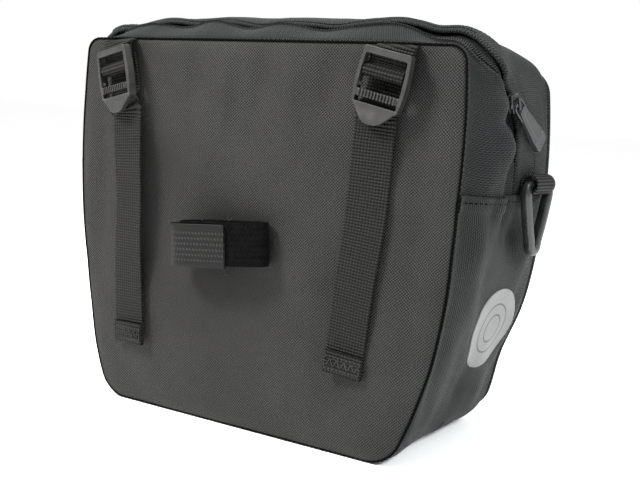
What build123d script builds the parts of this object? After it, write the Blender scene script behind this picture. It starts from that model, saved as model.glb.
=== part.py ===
"""Handlebar or rack pannier bag: a zipped fabric box on a stiff back panel, hung by two webbing straps.

Millimetres, +Z up. The bag stands on its base at z = 0. The back panel faces -Y and the front faces +Y.
Everything is built with the back panel's outer face at y = 0 and moved by ORIGIN_Y at the very end, so
that the origin is under the middle of the whole bag.
"""

from build123d import *
from functools import cache
from math import atan, cos, sin
import os

# Back panel: a board with bowed sides, wider at the top
HALF_LOW = 100.0  # half width at the base
HALF_MID = 130.0  # half width at MID_Z
HALF_HIGH = 133.0  # half width at the top corners
MID_Z = 105.0
BACK_HEIGHT = 232.0
BACK_THICK = 3.0
ORIGIN_Y = 51.1  # the middle of the whole bag, from the back panel's face

# Body: the sides flare outwards from back to front, and the front leans back towards the top
FLARE = 0.18
DEPTH_AT_BASE = 118.0
FRONT_LEAN = 0.12
DOME = 1.06  # the front panel's middle, as a share of the depth
FABRIC = 1.6
TAPE = 1.0
FOLD_Z = 165.0  # above this the front part folds open
FOLD_GAP = 0.3  # parts the folding half from the rest
SIDE_X = 84.0  # beyond this the walls are side gussets, within it the base and the top
BINDING = 1.5
BINDING_SHARE = 0.965  # the front binding's rear edge, as a share of the depth
BOARD_INSET = 6.0
BOARD_THICK = 1.5
BASE_BOARD = ((-74.0, 74.0), (6.0, 96.0), (FABRIC, FABRIC + 2.5))
# Stations from back to front: share of depth, extra half width, base, top, low and high corner radii
STATIONS = (
    (0.22, 0.0, 0.0, 249.0, 26.0, 24.0),
    (0.50, 0.0, 0.0, 255.0, 28.0, 36.0),
    (0.85, -1.0, 0.0, 249.0, 30.0, 38.0),
    (1.00, -3.0, 6.0, 233.0, 30.0, 34.0),
)
DOME_STATION = (DOME, -26.0, 22.0, 216.0, 30.0, 32.0)

# Zip: its line in the YZ plane, from the lower end on the side to the top
ZIP_LINE = ((58.0, FOLD_Z), (41.4, 216.0), (27.0, 238.0), (22.0, 270.0))
SLIDER_Y = 44.0
SLIDER_Z = 208.0
ZIP_SLOT = 10.0
ZIP_TAPE = 11.0
TAPE_GAP = 0.4
SLIDER_LOW = -0.9  # the slider's faces, from the side's surface
SLIDER_HIGH = 2.4
SLIDER_WIDTH = 8.0
SLIDER_LENGTH = 11.0
BRIDGE_TALL = 2.9
LINK_OUT = 1.05  # the wire link's bar, above the slider's face
PULL_END_Y = 79.0  # where the pull's free end lies on the side
PULL_END_Z = 183.0
PULL_END_OUT = 4.6

# Webbing straps and their ladder-lock buckles
WEBBING = 25.0
WEB_THICK = 1.4
STRAP_X = 94.0
SEAM_Z = 231.5
STRAP_LEAN = 12.0  # degrees, the buckles lean towards the middle
TAIL_X = 86.0
TAIL_Z = 187.8
TAIL_LEAN = 4.5
TAIL_LENGTH = 147.0
TAIL_Y = -5.5
HEM_LENGTH = 13.0
BUCKLE_HALF = 15.2
BUCKLE_LENGTH = 41.0
BUCKLE_FRONT = -10.7
BUCKLE_PLATE = 3.2
RAIL_DEPTH = 5.8
ROLL_Y = -6.5
ROLL_Z = -13.0
ROLL_OUTER = 4.0
ROLL_BORE = 2.1
BAR_RADIUS = 1.8
WINDOW = (-23.5, -5.5)
SLOT = (-30.6, -27.5)
TEETH = 11
TOOTH_HALF = 0.6
STRAP_ENTRY = -28.8  # where the load strap passes over the toothed bar
THREADED_END = -39.5

# Hook-and-loop strap around the handlebar stem
LOOP_LEFT = -43.0
LOOP_RIGHT = 27.0
LOOP_LOW = 98.5
LOOP_HIGH = 124.5
LOOP_OUT = -20.1
LOOP_THICK = 1.5
HOOK_END = 1.0
ANCHOR = (-26.0, 10.0)
ANCHOR_THICK = 0.2

# Side rings for a shoulder strap
RING_Y = 74.0
RING_Z = 163.0
RING_OUT = 6.6  # from the side's surface to the bar
RING_WIDTH = 36.0
RING_HEIGHT = 45.0
RING_BAR = 4.4
RING_LEG = 5.0
RING_LOW_HALF = 10.0  # the ring narrows to a round end
TAB_WIDTH = 22.0
TAB_OUTER = 5.9
TAB_BORE = 3.5

# Side pockets and round reflective patches
POCKET_THICK = 1.2
POCKET_LOW = 14.0
POCKET_HIGH = 154.0
POCKET_BACK = 5.0
POCKET_SHARE = 0.84  # the pocket's front edge, as a share of the depth
HEM_TALL = 9.0
HEM_THICK = 0.9
PATCH_THICK = 0.5
PATCH_RADIUS = 26.0
PATCH_Y = 70.0
PATCH_Z = 75.0

FLARE_ANGLE = atan(FLARE)
WIDE = 400.0  # longer than the bag in any direction
FAR = 300.0


def front_y(z, share=1.0):
    """Depth of the leaning front seam plane at height z, or that share of it."""
    return share * (DEPTH_AT_BASE - FRONT_LEAN * z)


def profile(plane, wider, low, high, r_low, r_high, grow):
    """A bowed trapezoid with rounded corners, the bag's cross-section, on a plane that faces the back."""
    z_low = low - grow
    z_high = high + grow
    foot = HALF_LOW + wider + grow
    waist = HALF_MID + wider + grow
    head = HALF_HIGH + wider + grow
    edges = [
        Line((-foot, z_low), (foot, z_low)),
        ThreePointArc((foot, z_low), (waist, MID_Z), (head, z_high)),
        Line((head, z_high), (-head, z_high)),
        ThreePointArc((-head, z_high), (-waist, MID_Z), (-foot, z_low)),
    ]
    face = make_face(edges)
    low_corners = face.vertices().sort_by(Axis.Y)[:2]
    face = fillet(low_corners, r_low + grow)
    high_corners = [v for v in face.vertices() if v.Y > z_high - 0.01]
    face = fillet(high_corners, r_high + grow)
    return plane * face


def station(share, wider, low, high, r_low, r_high, grow, back=0.0):
    """The section on the leaning plane at that share of the depth."""
    y = front_y(0, share) + back
    plane = Plane(origin=(0, y, 0), x_dir=(1, 0, 0), z_dir=(0, -1, -FRONT_LEAN * share))
    flare = FLARE * front_y(MID_Z, share)
    return profile(plane, wider + flare, low, high, r_low, r_high, grow)


def back_section(y, grow=0.0):
    """The back panel's own outline at depth y."""
    plane = Plane(origin=(0, y, 0), x_dir=(1, 0, 0), z_dir=(0, -1, 0))
    return profile(plane, FLARE * y, 0.0, BACK_HEIGHT, 22.0, 13.0, grow)


@cache
def hull(grow):
    """The solid inside the bag's sides, base and top, grown outwards or, below 0, inwards."""
    faces = [back_section(BACK_THICK, grow)]
    faces += [station(*s, grow) for s in STATIONS]
    return loft(faces, ruled=True)


def dome(grow, back=0.0):
    """The solid under the front panel."""
    return loft([station(*STATIONS[-1], grow, back), station(*DOME_STATION, grow, back)], ruled=True)


def side_point(y, z, out=0.0):
    """The point on the right side's surface at depth y and height z, or that far out of it."""
    across = Axis((0, y, z), (1, 0, 0))
    points = [point for point, normal in hull(0).find_intersection_points(across)]
    outwards = Vector(cos(FLARE_ANGLE), -sin(FLARE_ANGLE), 0)
    return max(points, key=lambda point: point.X) + outwards * out


def prism(points, x_low=-WIDE / 2, x_high=WIDE / 2):
    """A (y, z) polygon run along X."""
    face = make_face(Polyline(*points, close=True))
    return extrude(Plane.YZ.offset(x_low) * face, x_high - x_low)


def block(x, y, z):
    """A box from three (low, high) pairs."""
    size = [b - a for a, b in (x, y, z)]
    centre = [(a + b) / 2 for a, b in (x, y, z)]
    return Pos(*centre) * Box(*size)


def zip_band(low, high):
    """The zone from low to high, in depth, about the zip's line, above the fold."""
    there = [(y + low, z) for y, z in ZIP_LINE]
    back_again = [(y + high, z) for y, z in reversed(ZIP_LINE)]
    return prism(there + back_again)


def in_front_of_zip():
    """The zone of the part that folds open: above the fold and in front of the zip."""
    corner = [(FAR, ZIP_LINE[-1][1]), (FAR, FOLD_Z)]
    return prism(list(ZIP_LINE) + corner)


def right_and_left(shape):
    """The shape for the right and its mirror image for the left."""
    return {"right": shape, "left": mirror(shape, Plane.YZ)}


def main_shell():
    """The fabric walls, cut into the panels they are sewn from."""
    walls = hull(0) - hull(-FABRIC)
    opening = in_front_of_zip()
    slot = zip_band(-ZIP_SLOT / 2, ZIP_SLOT / 2)
    rear = walls - opening - slot
    front = (walls & Pos(0, 0, FOLD_GAP) * opening) - slot
    middle = block((-SIDE_X, SIDE_X), (0, FAR), (-10, FAR))
    base = block((-SIDE_X, SIDE_X), (0, FAR), (-10, MID_Z))
    crown = block((-SIDE_X, SIDE_X), (0, FAR), (MID_Z, FAR))
    right_side = block((SIDE_X, FAR), (0, FAR), (-10, FAR))
    left_side = block((-FAR, -SIDE_X), (0, FAR), (-10, FAR))
    nodes = {
        "base_panel": rear & base,
        "top_gusset_rear": rear & crown,
        "side_gusset_right": rear & right_side,
        "side_gusset_left": rear & left_side,
        "top_gusset_front": front & middle,
        "flap_side_right": front & right_side,
        "flap_side_left": front & left_side,
    }
    return nodes


def below_fold():
    """Everything under the line that the front part folds about."""
    return block((-WIDE / 2, WIDE / 2), (0, FAR), (-10, FOLD_Z))


def above_fold():
    """Everything over that line, parted from what is under it."""
    return block((-WIDE / 2, WIDE / 2), (0, FAR), (FOLD_Z + FOLD_GAP, FAR))


def zip_tapes():
    """The two woven tapes with their coils, under the slot."""
    layer = hull(-FABRIC) - hull(-FABRIC - TAPE)
    rear = layer & zip_band(-ZIP_TAPE, -TAPE_GAP / 2)
    front = layer & zip_band(TAPE_GAP / 2, ZIP_TAPE)
    above = above_fold()
    return {"zip_tape_rear": rear & above, "zip_tape_front": front & above}


def front_panel():
    """The domed front, in a lower part and a part that folds open with the flap."""
    shell = dome(0) - dome(-FABRIC, -FABRIC * DOME)
    return {"front_panel": shell & below_fold(), "flap_front": shell & above_fold()}


def back_panel():
    """The padded back, its stiffening board inside, and the binding round its edge."""
    outline = back_section(BACK_THICK)
    panel = extrude(outline, BACK_THICK)
    ring = extrude(back_section(BACK_THICK, BINDING), BACK_THICK) - panel
    ring &= block((-WIDE / 2, WIDE / 2), (-1, BACK_THICK + 1), (0, FAR))
    board = extrude(back_section(BACK_THICK + BOARD_THICK, -BOARD_INSET), BOARD_THICK)
    return {"back_panel": panel, "back_binding": ring, "back_board": board}


def front_binding():
    """The bound seam round the front panel, in its lower part and its part on the flap."""
    low_z = -30.0
    rear_edge = [(front_y(low_z, BINDING_SHARE), low_z), (front_y(FAR, BINDING_SHARE), FAR)]
    front_edge = [(front_y(FAR), FAR), (front_y(low_z), low_z)]
    ring = (hull(BINDING) - hull(0)) & prism(rear_edge + front_edge)
    return {"front_binding": ring & below_fold(), "flap_binding": ring & above_fold()}


def base_board():
    """The stiff board that lies loose on the base."""
    return {"base_board": block(*BASE_BOARD)}


def pocket_zone(low, high):
    """The right pocket's zone on the side, between two heights."""
    rear_edge = [(POCKET_BACK, low), (POCKET_BACK, high)]
    front_edge = [(front_y(high, POCKET_SHARE), high), (front_y(low, POCKET_SHARE), low)]
    return prism(rear_edge + front_edge, SIDE_X + 2, FAR)


def side_pockets():
    """A slip pocket with a doubled hem on each side, and a round reflective patch on it."""
    outer = hull(POCKET_THICK)
    pocket = (outer - hull(0)) & pocket_zone(POCKET_LOW, POCKET_HIGH)
    hem = (hull(POCKET_THICK + HEM_THICK) - outer) & pocket_zone(POCKET_HIGH - HEM_TALL, POCKET_HIGH)
    disc = extrude(Pos(PATCH_Y, PATCH_Z) * Circle(PATCH_RADIUS), FAR)
    patch = (hull(POCKET_THICK + PATCH_THICK) - outer) & Plane.YZ * disc
    nodes = {}
    for name, shape in (("side_pocket", pocket), ("pocket_hem", hem), ("reflective_patch", patch)):
        for side, solid in right_and_left(shape).items():
            nodes[f"{name}_{side}"] = solid
    return nodes


def ring_frame():
    """Where the right ring's bar lies: x along the bar, y up, z out of the bag's side."""
    along = (sin(FLARE_ANGLE), cos(FLARE_ANGLE), 0)
    out = (cos(FLARE_ANGLE), -sin(FLARE_ANGLE), 0)
    return Plane(origin=side_point(RING_Y, RING_Z, RING_OUT), x_dir=along, z_dir=out)


def side_rings():
    """A moulded ring on each side, hung in a tube of webbing that is sewn on at the pocket's hem."""
    half = RING_WIDTH / 2
    hole_half = half - RING_LEG
    turn = -RING_HEIGHT + RING_BAR / 2 + RING_LOW_HALF
    outline = make_face(
        [
            Line((-half, RING_BAR / 2), (half, RING_BAR / 2)),
            Line((half, RING_BAR / 2), (RING_LOW_HALF, turn)),
            ThreePointArc((RING_LOW_HALF, turn), (0, turn - RING_LOW_HALF), (-RING_LOW_HALF, turn)),
            Line((-RING_LOW_HALF, turn), (-half, RING_BAR / 2)),
        ]
    )
    hole_low = RING_LOW_HALF - RING_LEG
    hole = make_face(
        [
            Line((-hole_half, -RING_BAR / 2), (hole_half, -RING_BAR / 2)),
            Line((hole_half, -RING_BAR / 2), (hole_low, turn)),
            ThreePointArc((hole_low, turn), (0, turn - hole_low), (-hole_low, turn)),
            Line((-hole_low, turn), (-hole_half, -RING_BAR / 2)),
        ]
    )
    ring = extrude(outline, RING_BAR / 2, both=True) - extrude(hole, RING_BAR, both=True)
    tube = Rot(0, 90, 0) * (Cylinder(TAB_OUTER, TAB_WIDTH) - Cylinder(TAB_BORE, TAB_WIDTH + 1))
    frame = ring_frame()
    foot_zone = frame * block((-TAB_WIDTH / 2, TAB_WIDTH / 2), (-8.8, 1.5), (-20, 20))
    foot = (hull(2.4) - hull(0)) & foot_zone
    stem = frame * block((-TAB_WIDTH / 2, TAB_WIDTH / 2), (-2.6, 1.2), (-RING_OUT + 1.6, -TAB_BORE - 0.8))
    tab = frame * tube + stem + foot
    nodes = {}
    for name, shape in (("side_ring", frame * ring), ("ring_tab", tab)):
        for side, solid in right_and_left(shape).items():
            nodes[f"{name}_{side}"] = solid
    return nodes


def buckle():
    """A ladder-lock buckle hanging below z = 0: frame, fixed bar, toothed bar and thumb lip."""
    plate_back = BUCKLE_FRONT + BUCKLE_PLATE
    outline = make_face(
        Polyline(
            (-BUCKLE_HALF, -0.5),
            (BUCKLE_HALF, -0.5),
            (BUCKLE_HALF - 1.4, -31),
            (6.5, -BUCKLE_LENGTH),
            (-6.5, -BUCKLE_LENGTH),
            (-BUCKLE_HALF + 1.4, -31),
            close=True,
        )
    )
    facing_back = Plane(origin=(0, plate_back, 0), x_dir=(1, 0, 0), z_dir=(0, -1, 0))
    body = extrude(facing_back * outline, BUCKLE_PLATE)
    inner = WEBBING / 2 + 0.5
    body -= block((-inner, inner), (-20, 0), WINDOW)
    body -= block((-inner, inner), (-20, 0), SLOT)
    rail_y = (BUCKLE_FRONT + 1, BUCKLE_FRONT + RAIL_DEPTH)
    rail = block((inner - 0.2, BUCKLE_HALF - 1.0), rail_y, (-30.5, -1.2))
    body += rail + mirror(rail, Plane.YZ)
    bar = Pos(0, ROLL_Y, ROLL_Z) * Rot(0, 90, 0) * Cylinder(BAR_RADIUS, 2 * inner + 1)
    body += bar
    pitch = 2 * (inner - 1.0) / (TEETH - 1)
    for i in range(TEETH):
        x = -inner + 1.0 + i * pitch
        sides = (x - TOOTH_HALF, x + TOOTH_HALF)
        body += block(sides, (BUCKLE_FRONT - 0.6, BUCKLE_FRONT + 0.5), (-27.3, -23.7))
    return body


def strap_set():
    """One strap's pieces at the seam: fixed loop, buckle, and the strap threaded through it."""
    half = WEBBING / 2
    roll = Rot(0, 90, 0) * (Cylinder(ROLL_OUTER, WEBBING) - Cylinder(ROLL_BORE, WEBBING + 1))
    loop = Pos(0, ROLL_Y, ROLL_Z) * roll + block((-half, half), (-4.3, -2.5), (ROLL_Z, -0.2))
    turn = STRAP_ENTRY - WEB_THICK
    layer = (TAIL_Y - WEB_THICK / 2, TAIL_Y + WEB_THICK / 2)
    behind = block((-half, half), (-2.5, -1.1), (turn, -0.2))
    across = block((-half, half), (layer[0], -1.1), (turn, STRAP_ENTRY))
    down = block((-half, half), layer, (THREADED_END, STRAP_ENTRY))
    return {"seam_loop": loop, "buckle": buckle(), "threaded_strap": behind + across + down}


def strap_tail():
    """The free end of a strap, hanging from z = 0, and its folded and stitched hem."""
    half = WEBBING / 2
    tail = block((-half, half), (-WEB_THICK / 2, WEB_THICK / 2), (-TAIL_LENGTH, 0))
    hem_z = (-TAIL_LENGTH, -TAIL_LENGTH + HEM_LENGTH)
    hem = block((-half, half), (-1.5 * WEB_THICK, -WEB_THICK / 2), hem_z)
    return {"strap_tail": tail, "strap_hem": hem}


def straps():
    """Both straps, each leaning towards the middle of the panel."""
    nodes = {}
    for side, sign in (("right", 1), ("left", -1)):
        at_seam = Pos(sign * STRAP_X, 0, SEAM_Z) * Rot(0, sign * STRAP_LEAN, 0)
        at_lip = Pos(sign * TAIL_X, TAIL_Y, TAIL_Z) * Rot(0, sign * TAIL_LEAN, 0)
        for name, solid in strap_set().items():
            nodes[f"{name}_{side}"] = at_seam * solid
        for name, solid in strap_tail().items():
            nodes[f"{name}_{side}"] = at_lip * solid
    return nodes


def rounded_slot(x_low, x_high, y_low, y_high):
    """A flat oval seen from above, with round ends."""
    radius = (y_high - y_low) / 2
    middle = (y_low + y_high) / 2
    oval = SlotOverall(x_high - x_low, 2 * radius)
    return extrude(Pos((x_low + x_high) / 2, middle, LOOP_LOW) * oval, LOOP_HIGH - LOOP_LOW)


def hook_and_loop():
    """The strap sewn to the panel: a band with round ends, and the hook end that lies over it."""
    outer = LOOP_OUT + LOOP_THICK + 0.3
    inner = outer + LOOP_THICK
    band = rounded_slot(LOOP_LEFT, LOOP_RIGHT, outer, -ANCHOR_THICK)
    band -= rounded_slot(LOOP_LEFT + LOOP_THICK, LOOP_RIGHT - LOOP_THICK, inner, -ANCHOR_THICK - LOOP_THICK)
    patch = block(ANCHOR, (-ANCHOR_THICK, 0), (LOOP_LOW, LOOP_HIGH))
    split_x = (LOOP_LEFT + LOOP_RIGHT) / 2
    root_zone = block((-FAR, LOOP_LEFT + 9), (-FAR, 0), (0, FAR))
    root_zone += block((-FAR, split_x), (-4, 0), (0, FAR))
    tab_y = (LOOP_OUT, LOOP_OUT + LOOP_THICK)
    return {
        "loop_tape": band - root_zone,
        "hook_root": band & root_zone,
        "hook_tab": block((LOOP_LEFT + 5, HOOK_END), tab_y, (LOOP_LOW, LOOP_HIGH)),
        "loop_anchor": patch,
    }


def slider_frame():
    """Where the zip slider sits: x across the zip, y back up along it, z out of the bag's side."""
    (low_y, low_z), (high_y, high_z) = ZIP_LINE[:2]
    up = (side_point(high_y, high_z - 6) - side_point(low_y, low_z)).normalized()
    across = Vector(sin(FLARE_ANGLE), cos(FLARE_ANGLE), 0)
    out = across.cross(up).normalized()
    return Plane(origin=side_point(SLIDER_Y, SLIDER_Z), x_dir=up.cross(out), z_dir=out)


def zip_slider():
    """The metal slider, with a bridge for its pull."""
    outline = Pos(0, 0, SLIDER_LOW) * Trapezoid(SLIDER_WIDTH, SLIDER_LENGTH, 80, rotation=180)
    body = extrude(outline, SLIDER_HIGH - SLIDER_LOW)
    top = SLIDER_HIGH + BRIDGE_TALL
    bridge = block((-1.2, 1.2), (-3.6, 3.6), (SLIDER_HIGH - 0.2, top))
    bridge -= block((-3, 3), (-2.2, 2.2), (SLIDER_HIGH, top - 0.8))
    return {"zip_slider": slider_frame() * (body + bridge)}


def pull_frame():
    """Where the pull hangs on the bridge: x along its bar, y away from its free end, z out of the side."""
    base = slider_frame()
    origin = base.origin + base.z_dir * (SLIDER_HIGH + LINK_OUT)
    away = (origin - side_point(PULL_END_Y, PULL_END_Z, PULL_END_OUT)).normalized()
    bar = away.cross(base.z_dir).normalized()
    return Plane(origin=origin, x_dir=bar, z_dir=bar.cross(away))


def zip_pull():
    """The wire link through the bridge, and the moulded grip on its end."""
    place = pull_frame()
    wire = block((-4.5, 4.5), (-12.0, 0.65), (-0.65, 0.65))
    wire -= block((-3.6, 3.6), (-11.0, -0.65), (-2, 2))
    grip_end = ((5.4, -35), (5.4, -41), (-5.4, -41), (-5.4, -35))
    outline = Polyline((-4.6, -10.0), (4.6, -10.0), *grip_end, close=True)
    grip = extrude(make_face(outline), 1.9, both=True) - block((-4.6, 4.6), (-12.1, 0), (-0.7, 0.7))
    return {"pull_link": place * wire, "zip_pull": place * grip}


def write(nodes):
    """Moves every node to the bag's own origin and writes one STEP file each."""
    os.makedirs("parts", exist_ok=True)
    for name, shape in nodes.items():
        moved = Pos(0, -ORIGIN_Y, 0) * shape
        export_step(Compound(children=list(moved.solids())), f"parts/{name}.step")


nodes = {}
for section in (
    back_panel,
    base_board,
    main_shell,
    zip_tapes,
    front_panel,
    front_binding,
    side_pockets,
    side_rings,
    straps,
    hook_and_loop,
    zip_slider,
    zip_pull,
):
    nodes.update(section())
write(nodes)
everything = Compound(children=[s for shape in nodes.values() for s in shape.solids()])
box = everything.bounding_box()
print("nodes", len(nodes), "low", box.min, "high", box.max, "middle y", box.center().Y)
frame = ring_frame()
print("ring bar", frame.origin, "along", frame.x_dir)
frame = slider_frame()
print("slider", frame.origin, "up the zip", frame.y_dir, "across", frame.x_dir, "out", frame.z_dir)
frame = pull_frame()
print("pull", frame.origin, "bar", frame.x_dir, "away from its end", frame.y_dir)
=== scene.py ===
"""A zipped handlebar or rack bag, built round its CAD frame.

Sizes are in millimetres until they become meshes, with y = 0 at the back panel's outer face."""

import math

import bpy
import numpy as np
from mathutils import Matrix, Vector, noise


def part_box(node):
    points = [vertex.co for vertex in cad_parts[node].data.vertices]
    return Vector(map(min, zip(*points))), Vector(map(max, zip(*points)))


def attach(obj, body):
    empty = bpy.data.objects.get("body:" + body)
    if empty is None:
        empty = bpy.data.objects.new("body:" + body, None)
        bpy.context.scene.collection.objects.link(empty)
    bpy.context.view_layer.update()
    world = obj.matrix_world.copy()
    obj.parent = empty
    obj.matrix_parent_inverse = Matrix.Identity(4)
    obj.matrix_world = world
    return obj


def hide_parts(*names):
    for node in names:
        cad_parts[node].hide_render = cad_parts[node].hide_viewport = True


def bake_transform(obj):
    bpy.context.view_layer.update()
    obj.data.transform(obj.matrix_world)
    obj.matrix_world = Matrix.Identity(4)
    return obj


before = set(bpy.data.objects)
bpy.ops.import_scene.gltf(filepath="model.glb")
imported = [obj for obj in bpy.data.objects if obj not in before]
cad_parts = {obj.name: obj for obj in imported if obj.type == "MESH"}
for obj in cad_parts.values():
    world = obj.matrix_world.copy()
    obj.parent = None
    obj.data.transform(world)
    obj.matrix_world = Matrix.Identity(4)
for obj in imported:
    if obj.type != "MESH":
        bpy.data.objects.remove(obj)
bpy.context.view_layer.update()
MM = 0.001
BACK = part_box("back_panel")[0][1]


def at(x, y, z):
    """A point of the bag, in metres, in the row frame."""
    return Vector((x * MM, BACK + y * MM, z * MM))


# ---------------------------------------------------------------- camera, light and floor

CAMERA_AT = (303.3, -448.3, 194.9)
AZIMUTH, ELEVATION, ROLL = 29.06, 7.86, 3.63
LENS = 50.8
FLOOR_REACH, FLOOR_DROP = 30.0, 0.0004


def add_camera():
    azimuth, elevation, roll = (math.radians(a) for a in (AZIMUTH, ELEVATION, ROLL))
    flat = math.cos(elevation)
    back = Vector((math.sin(azimuth) * flat, -math.cos(azimuth) * flat, math.sin(elevation)))
    right = (-back).cross(Vector((0, 0, 1))).normalized()
    up = right.cross(-back)
    tilted_right = right * math.cos(roll) + up * math.sin(roll)
    tilted_up = up * math.cos(roll) - right * math.sin(roll)
    data = bpy.data.cameras.new("camera")
    data.lens = LENS
    data.sensor_width = 36.0
    camera = bpy.data.objects.new("camera", data)
    bpy.context.scene.collection.objects.link(camera)
    place = Matrix((tilted_right, tilted_up, back)).transposed().to_4x4()
    place.translation = at(*CAMERA_AT)
    camera.matrix_world = place
    bpy.context.scene.camera = camera


def add_light(name, position, target, size, power, colour):
    data = bpy.data.lights.new(name, "AREA")
    data.shape = "RECTANGLE"
    data.size, data.size_y = size
    data.energy = power
    data.color = colour
    lamp = bpy.data.objects.new(name, data)
    bpy.context.scene.collection.objects.link(lamp)
    aim = Vector(target) - Vector(position)
    lamp.matrix_world = Matrix.Translation(position) @ aim.to_track_quat("-Z", "Y").to_matrix().to_4x4()


def add_surroundings():
    scene = bpy.context.scene
    scene.view_settings.view_transform = "Standard"
    world = bpy.data.worlds.new("studio")
    world.use_nodes = True
    world.node_tree.nodes["Background"].inputs[0].default_value = (1, 1, 1, 1)
    world.node_tree.nodes["Background"].inputs[1].default_value = 1.0
    scene.world = world
    add_light("key", (-0.75, -0.85, 1.25), (0.02, -0.05, 0.17), (0.4, 0.4), 60, (1.0, 0.985, 0.965))
    add_light("fill", (1.15, -0.3, 1.0), (0.13, 0.03, 0.17), (0.35, 0.35), 20, (0.95, 1.0, 1.0))
    add_light("overhead", (-0.1, -0.25, 1.2), (0, 0, 0.1), (0.6, 0.5), 12, (1.0, 1.0, 1.0))
    mesh = bpy.data.meshes.new("floor")
    corners = ((-1, -1), (1, -1), (1, 1), (-1, 1))
    mesh.from_pydata([(x * FLOOR_REACH, y * FLOOR_REACH, 0) for x, y in corners], [], [(0, 1, 2, 3)])
    floor = bpy.data.objects.new("floor", mesh)
    floor.location.z = -FLOOR_DROP
    scene.collection.objects.link(floor)
    tree, shader = new_material("pale_floor")
    fleck = noise_node(tree, tree.nodes.new("ShaderNodeTexCoord").outputs["Object"], 3.0, 2)
    shade = ramp(tree, fleck, ((0.3, (0.97, 0.97, 0.97)), (0.7, (1.0, 1.0, 1.0))))
    tree.links.new(shade, shader.inputs["Base Color"])
    shader.inputs["Roughness"].default_value = 0.7
    mesh.materials.append(bpy.data.materials["pale_floor"])


# ---------------------------------------------------------------- material nodes


def new_material(name):
    made = bpy.data.materials.new(name)
    made.use_nodes = True
    return made.node_tree, made.node_tree.nodes["Principled BSDF"]


def maths(tree, operation, *values):
    node = tree.nodes.new("ShaderNodeMath")
    node.operation = operation
    for socket, value in zip(node.inputs, values):
        if isinstance(value, (int, float)):
            socket.default_value = value
        else:
            tree.links.new(value, socket)
    return node.outputs[0]


def noise_node(tree, where, scale, detail, roughness=0.5):
    node = tree.nodes.new("ShaderNodeTexNoise")
    node.inputs["Scale"].default_value = scale
    node.inputs["Detail"].default_value = detail
    node.inputs["Roughness"].default_value = roughness
    tree.links.new(where, node.inputs["Vector"])
    return node.outputs["Fac"]


def ramp(tree, value, stops):
    """Colours along a value; a grey is given as one number."""
    node = tree.nodes.new("ShaderNodeValToRGB")
    stops = [(position, (c, c, c) if isinstance(c, float) else c) for position, c in stops]
    elements = node.color_ramp.elements
    for element, (position, colour) in zip(elements, (stops[0], stops[-1])):
        element.position = position
        element.color = (*colour, 1)
    for position, colour in stops[1:-1]:
        elements.new(position).color = (*colour, 1)
    tree.links.new(value, node.inputs["Fac"])
    return node.outputs["Color"]


def bump(tree, shader, height, strength, depth_mm):
    node = tree.nodes.new("ShaderNodeBump")
    node.inputs["Strength"].default_value = strength
    node.inputs["Distance"].default_value = depth_mm * MM
    tree.links.new(height, node.inputs["Height"])
    tree.links.new(node.outputs["Normal"], shader.inputs["Normal"])


def flat_coordinates(tree):
    """The piece's own flat layout in metres, and its two directions."""
    where = tree.nodes.new("ShaderNodeUVMap").outputs["UV"]
    split = tree.nodes.new("ShaderNodeSeparateXYZ")
    tree.links.new(where, split.inputs[0])
    return where, split.outputs[0], split.outputs[1]


def wave(tree, value, pitch_mm):
    """A sine, 0 to 1, of that pitch."""
    turned = maths(tree, "MULTIPLY_ADD", value, 2 * math.pi / (pitch_mm * MM), 0.0)
    return maths(tree, "MULTIPLY_ADD", maths(tree, "SINE", turned), 0.5, 0.5)


def scaled(tree, value, share, rest):
    """A value times a share, plus the rest."""
    return maths(tree, "MULTIPLY_ADD", value, share, rest)


def finished(name, tree, shader, colour, rough, height, relief, depth_mm, **constants):
    """Gives a material its colour, its roughness, its bump and its constant values."""
    tree.links.new(colour, shader.inputs["Base Color"])
    if isinstance(rough, float):
        shader.inputs["Roughness"].default_value = rough
    else:
        tree.links.new(rough, shader.inputs["Roughness"])
    for socket, value in constants.items():
        shader.inputs[SOCKETS[socket]].default_value = value
    bump(tree, shader, height, relief, depth_mm)
    return bpy.data.materials[name]


SOCKETS = {
    "shine": "Specular IOR Level",
    "sheen": "Sheen Weight",
    "sheen_rough": "Sheen Roughness",
    "metal": "Metallic",
}


def canvas(name, dark, light, pitch, rib, relief=0.8):
    """Plain-woven polyester: threads over and under, uneven in colour, a little worn, with painted shade
    darkening the gaps of the weave and lighter raised threads.
    """
    tree, shader = new_material(name)
    where, u, v = flat_coordinates(tree)
    wobble = noise_node(tree, where, 420, 2)
    over = wave(tree, scaled(tree, wobble, 0.0007, u), pitch)
    under = wave(tree, scaled(tree, wobble, 0.0005, v), pitch)
    even = maths(tree, "MULTIPLY", over, under)
    odd = maths(tree, "MULTIPLY", maths(tree, "SUBTRACT", 1, over), maths(tree, "SUBTRACT", 1, under))
    row = wave(tree, u, pitch * 0.7)
    height = scaled(tree, row, rib, maths(tree, "ADD", even, odd))
    fibre = noise_node(tree, where, 1500, 3, 0.7)
    cloud = noise_node(tree, where, 16, 4, 0.6)
    tone = scaled(tree, fibre, 0.5, scaled(tree, cloud, 0.4, -0.52))
    # painted shade: the colour follows the weave's height, darker in its gaps and lighter on the raised
    # threads
    tone = scaled(tree, height, 1.15 / (1 + rib), tone)
    colour = ramp(tree, tone, ((0.15, dark), (1.0, light)))
    rough = scaled(tree, fibre, 0.25, 0.42)
    height = scaled(tree, fibre, 0.4, height)
    gloss = {"shine": 0.1, "sheen": 0.03, "sheen_rough": 0.45}
    return finished(name, tree, shader, colour, rough, height, relief, 0.5, **gloss)


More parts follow.
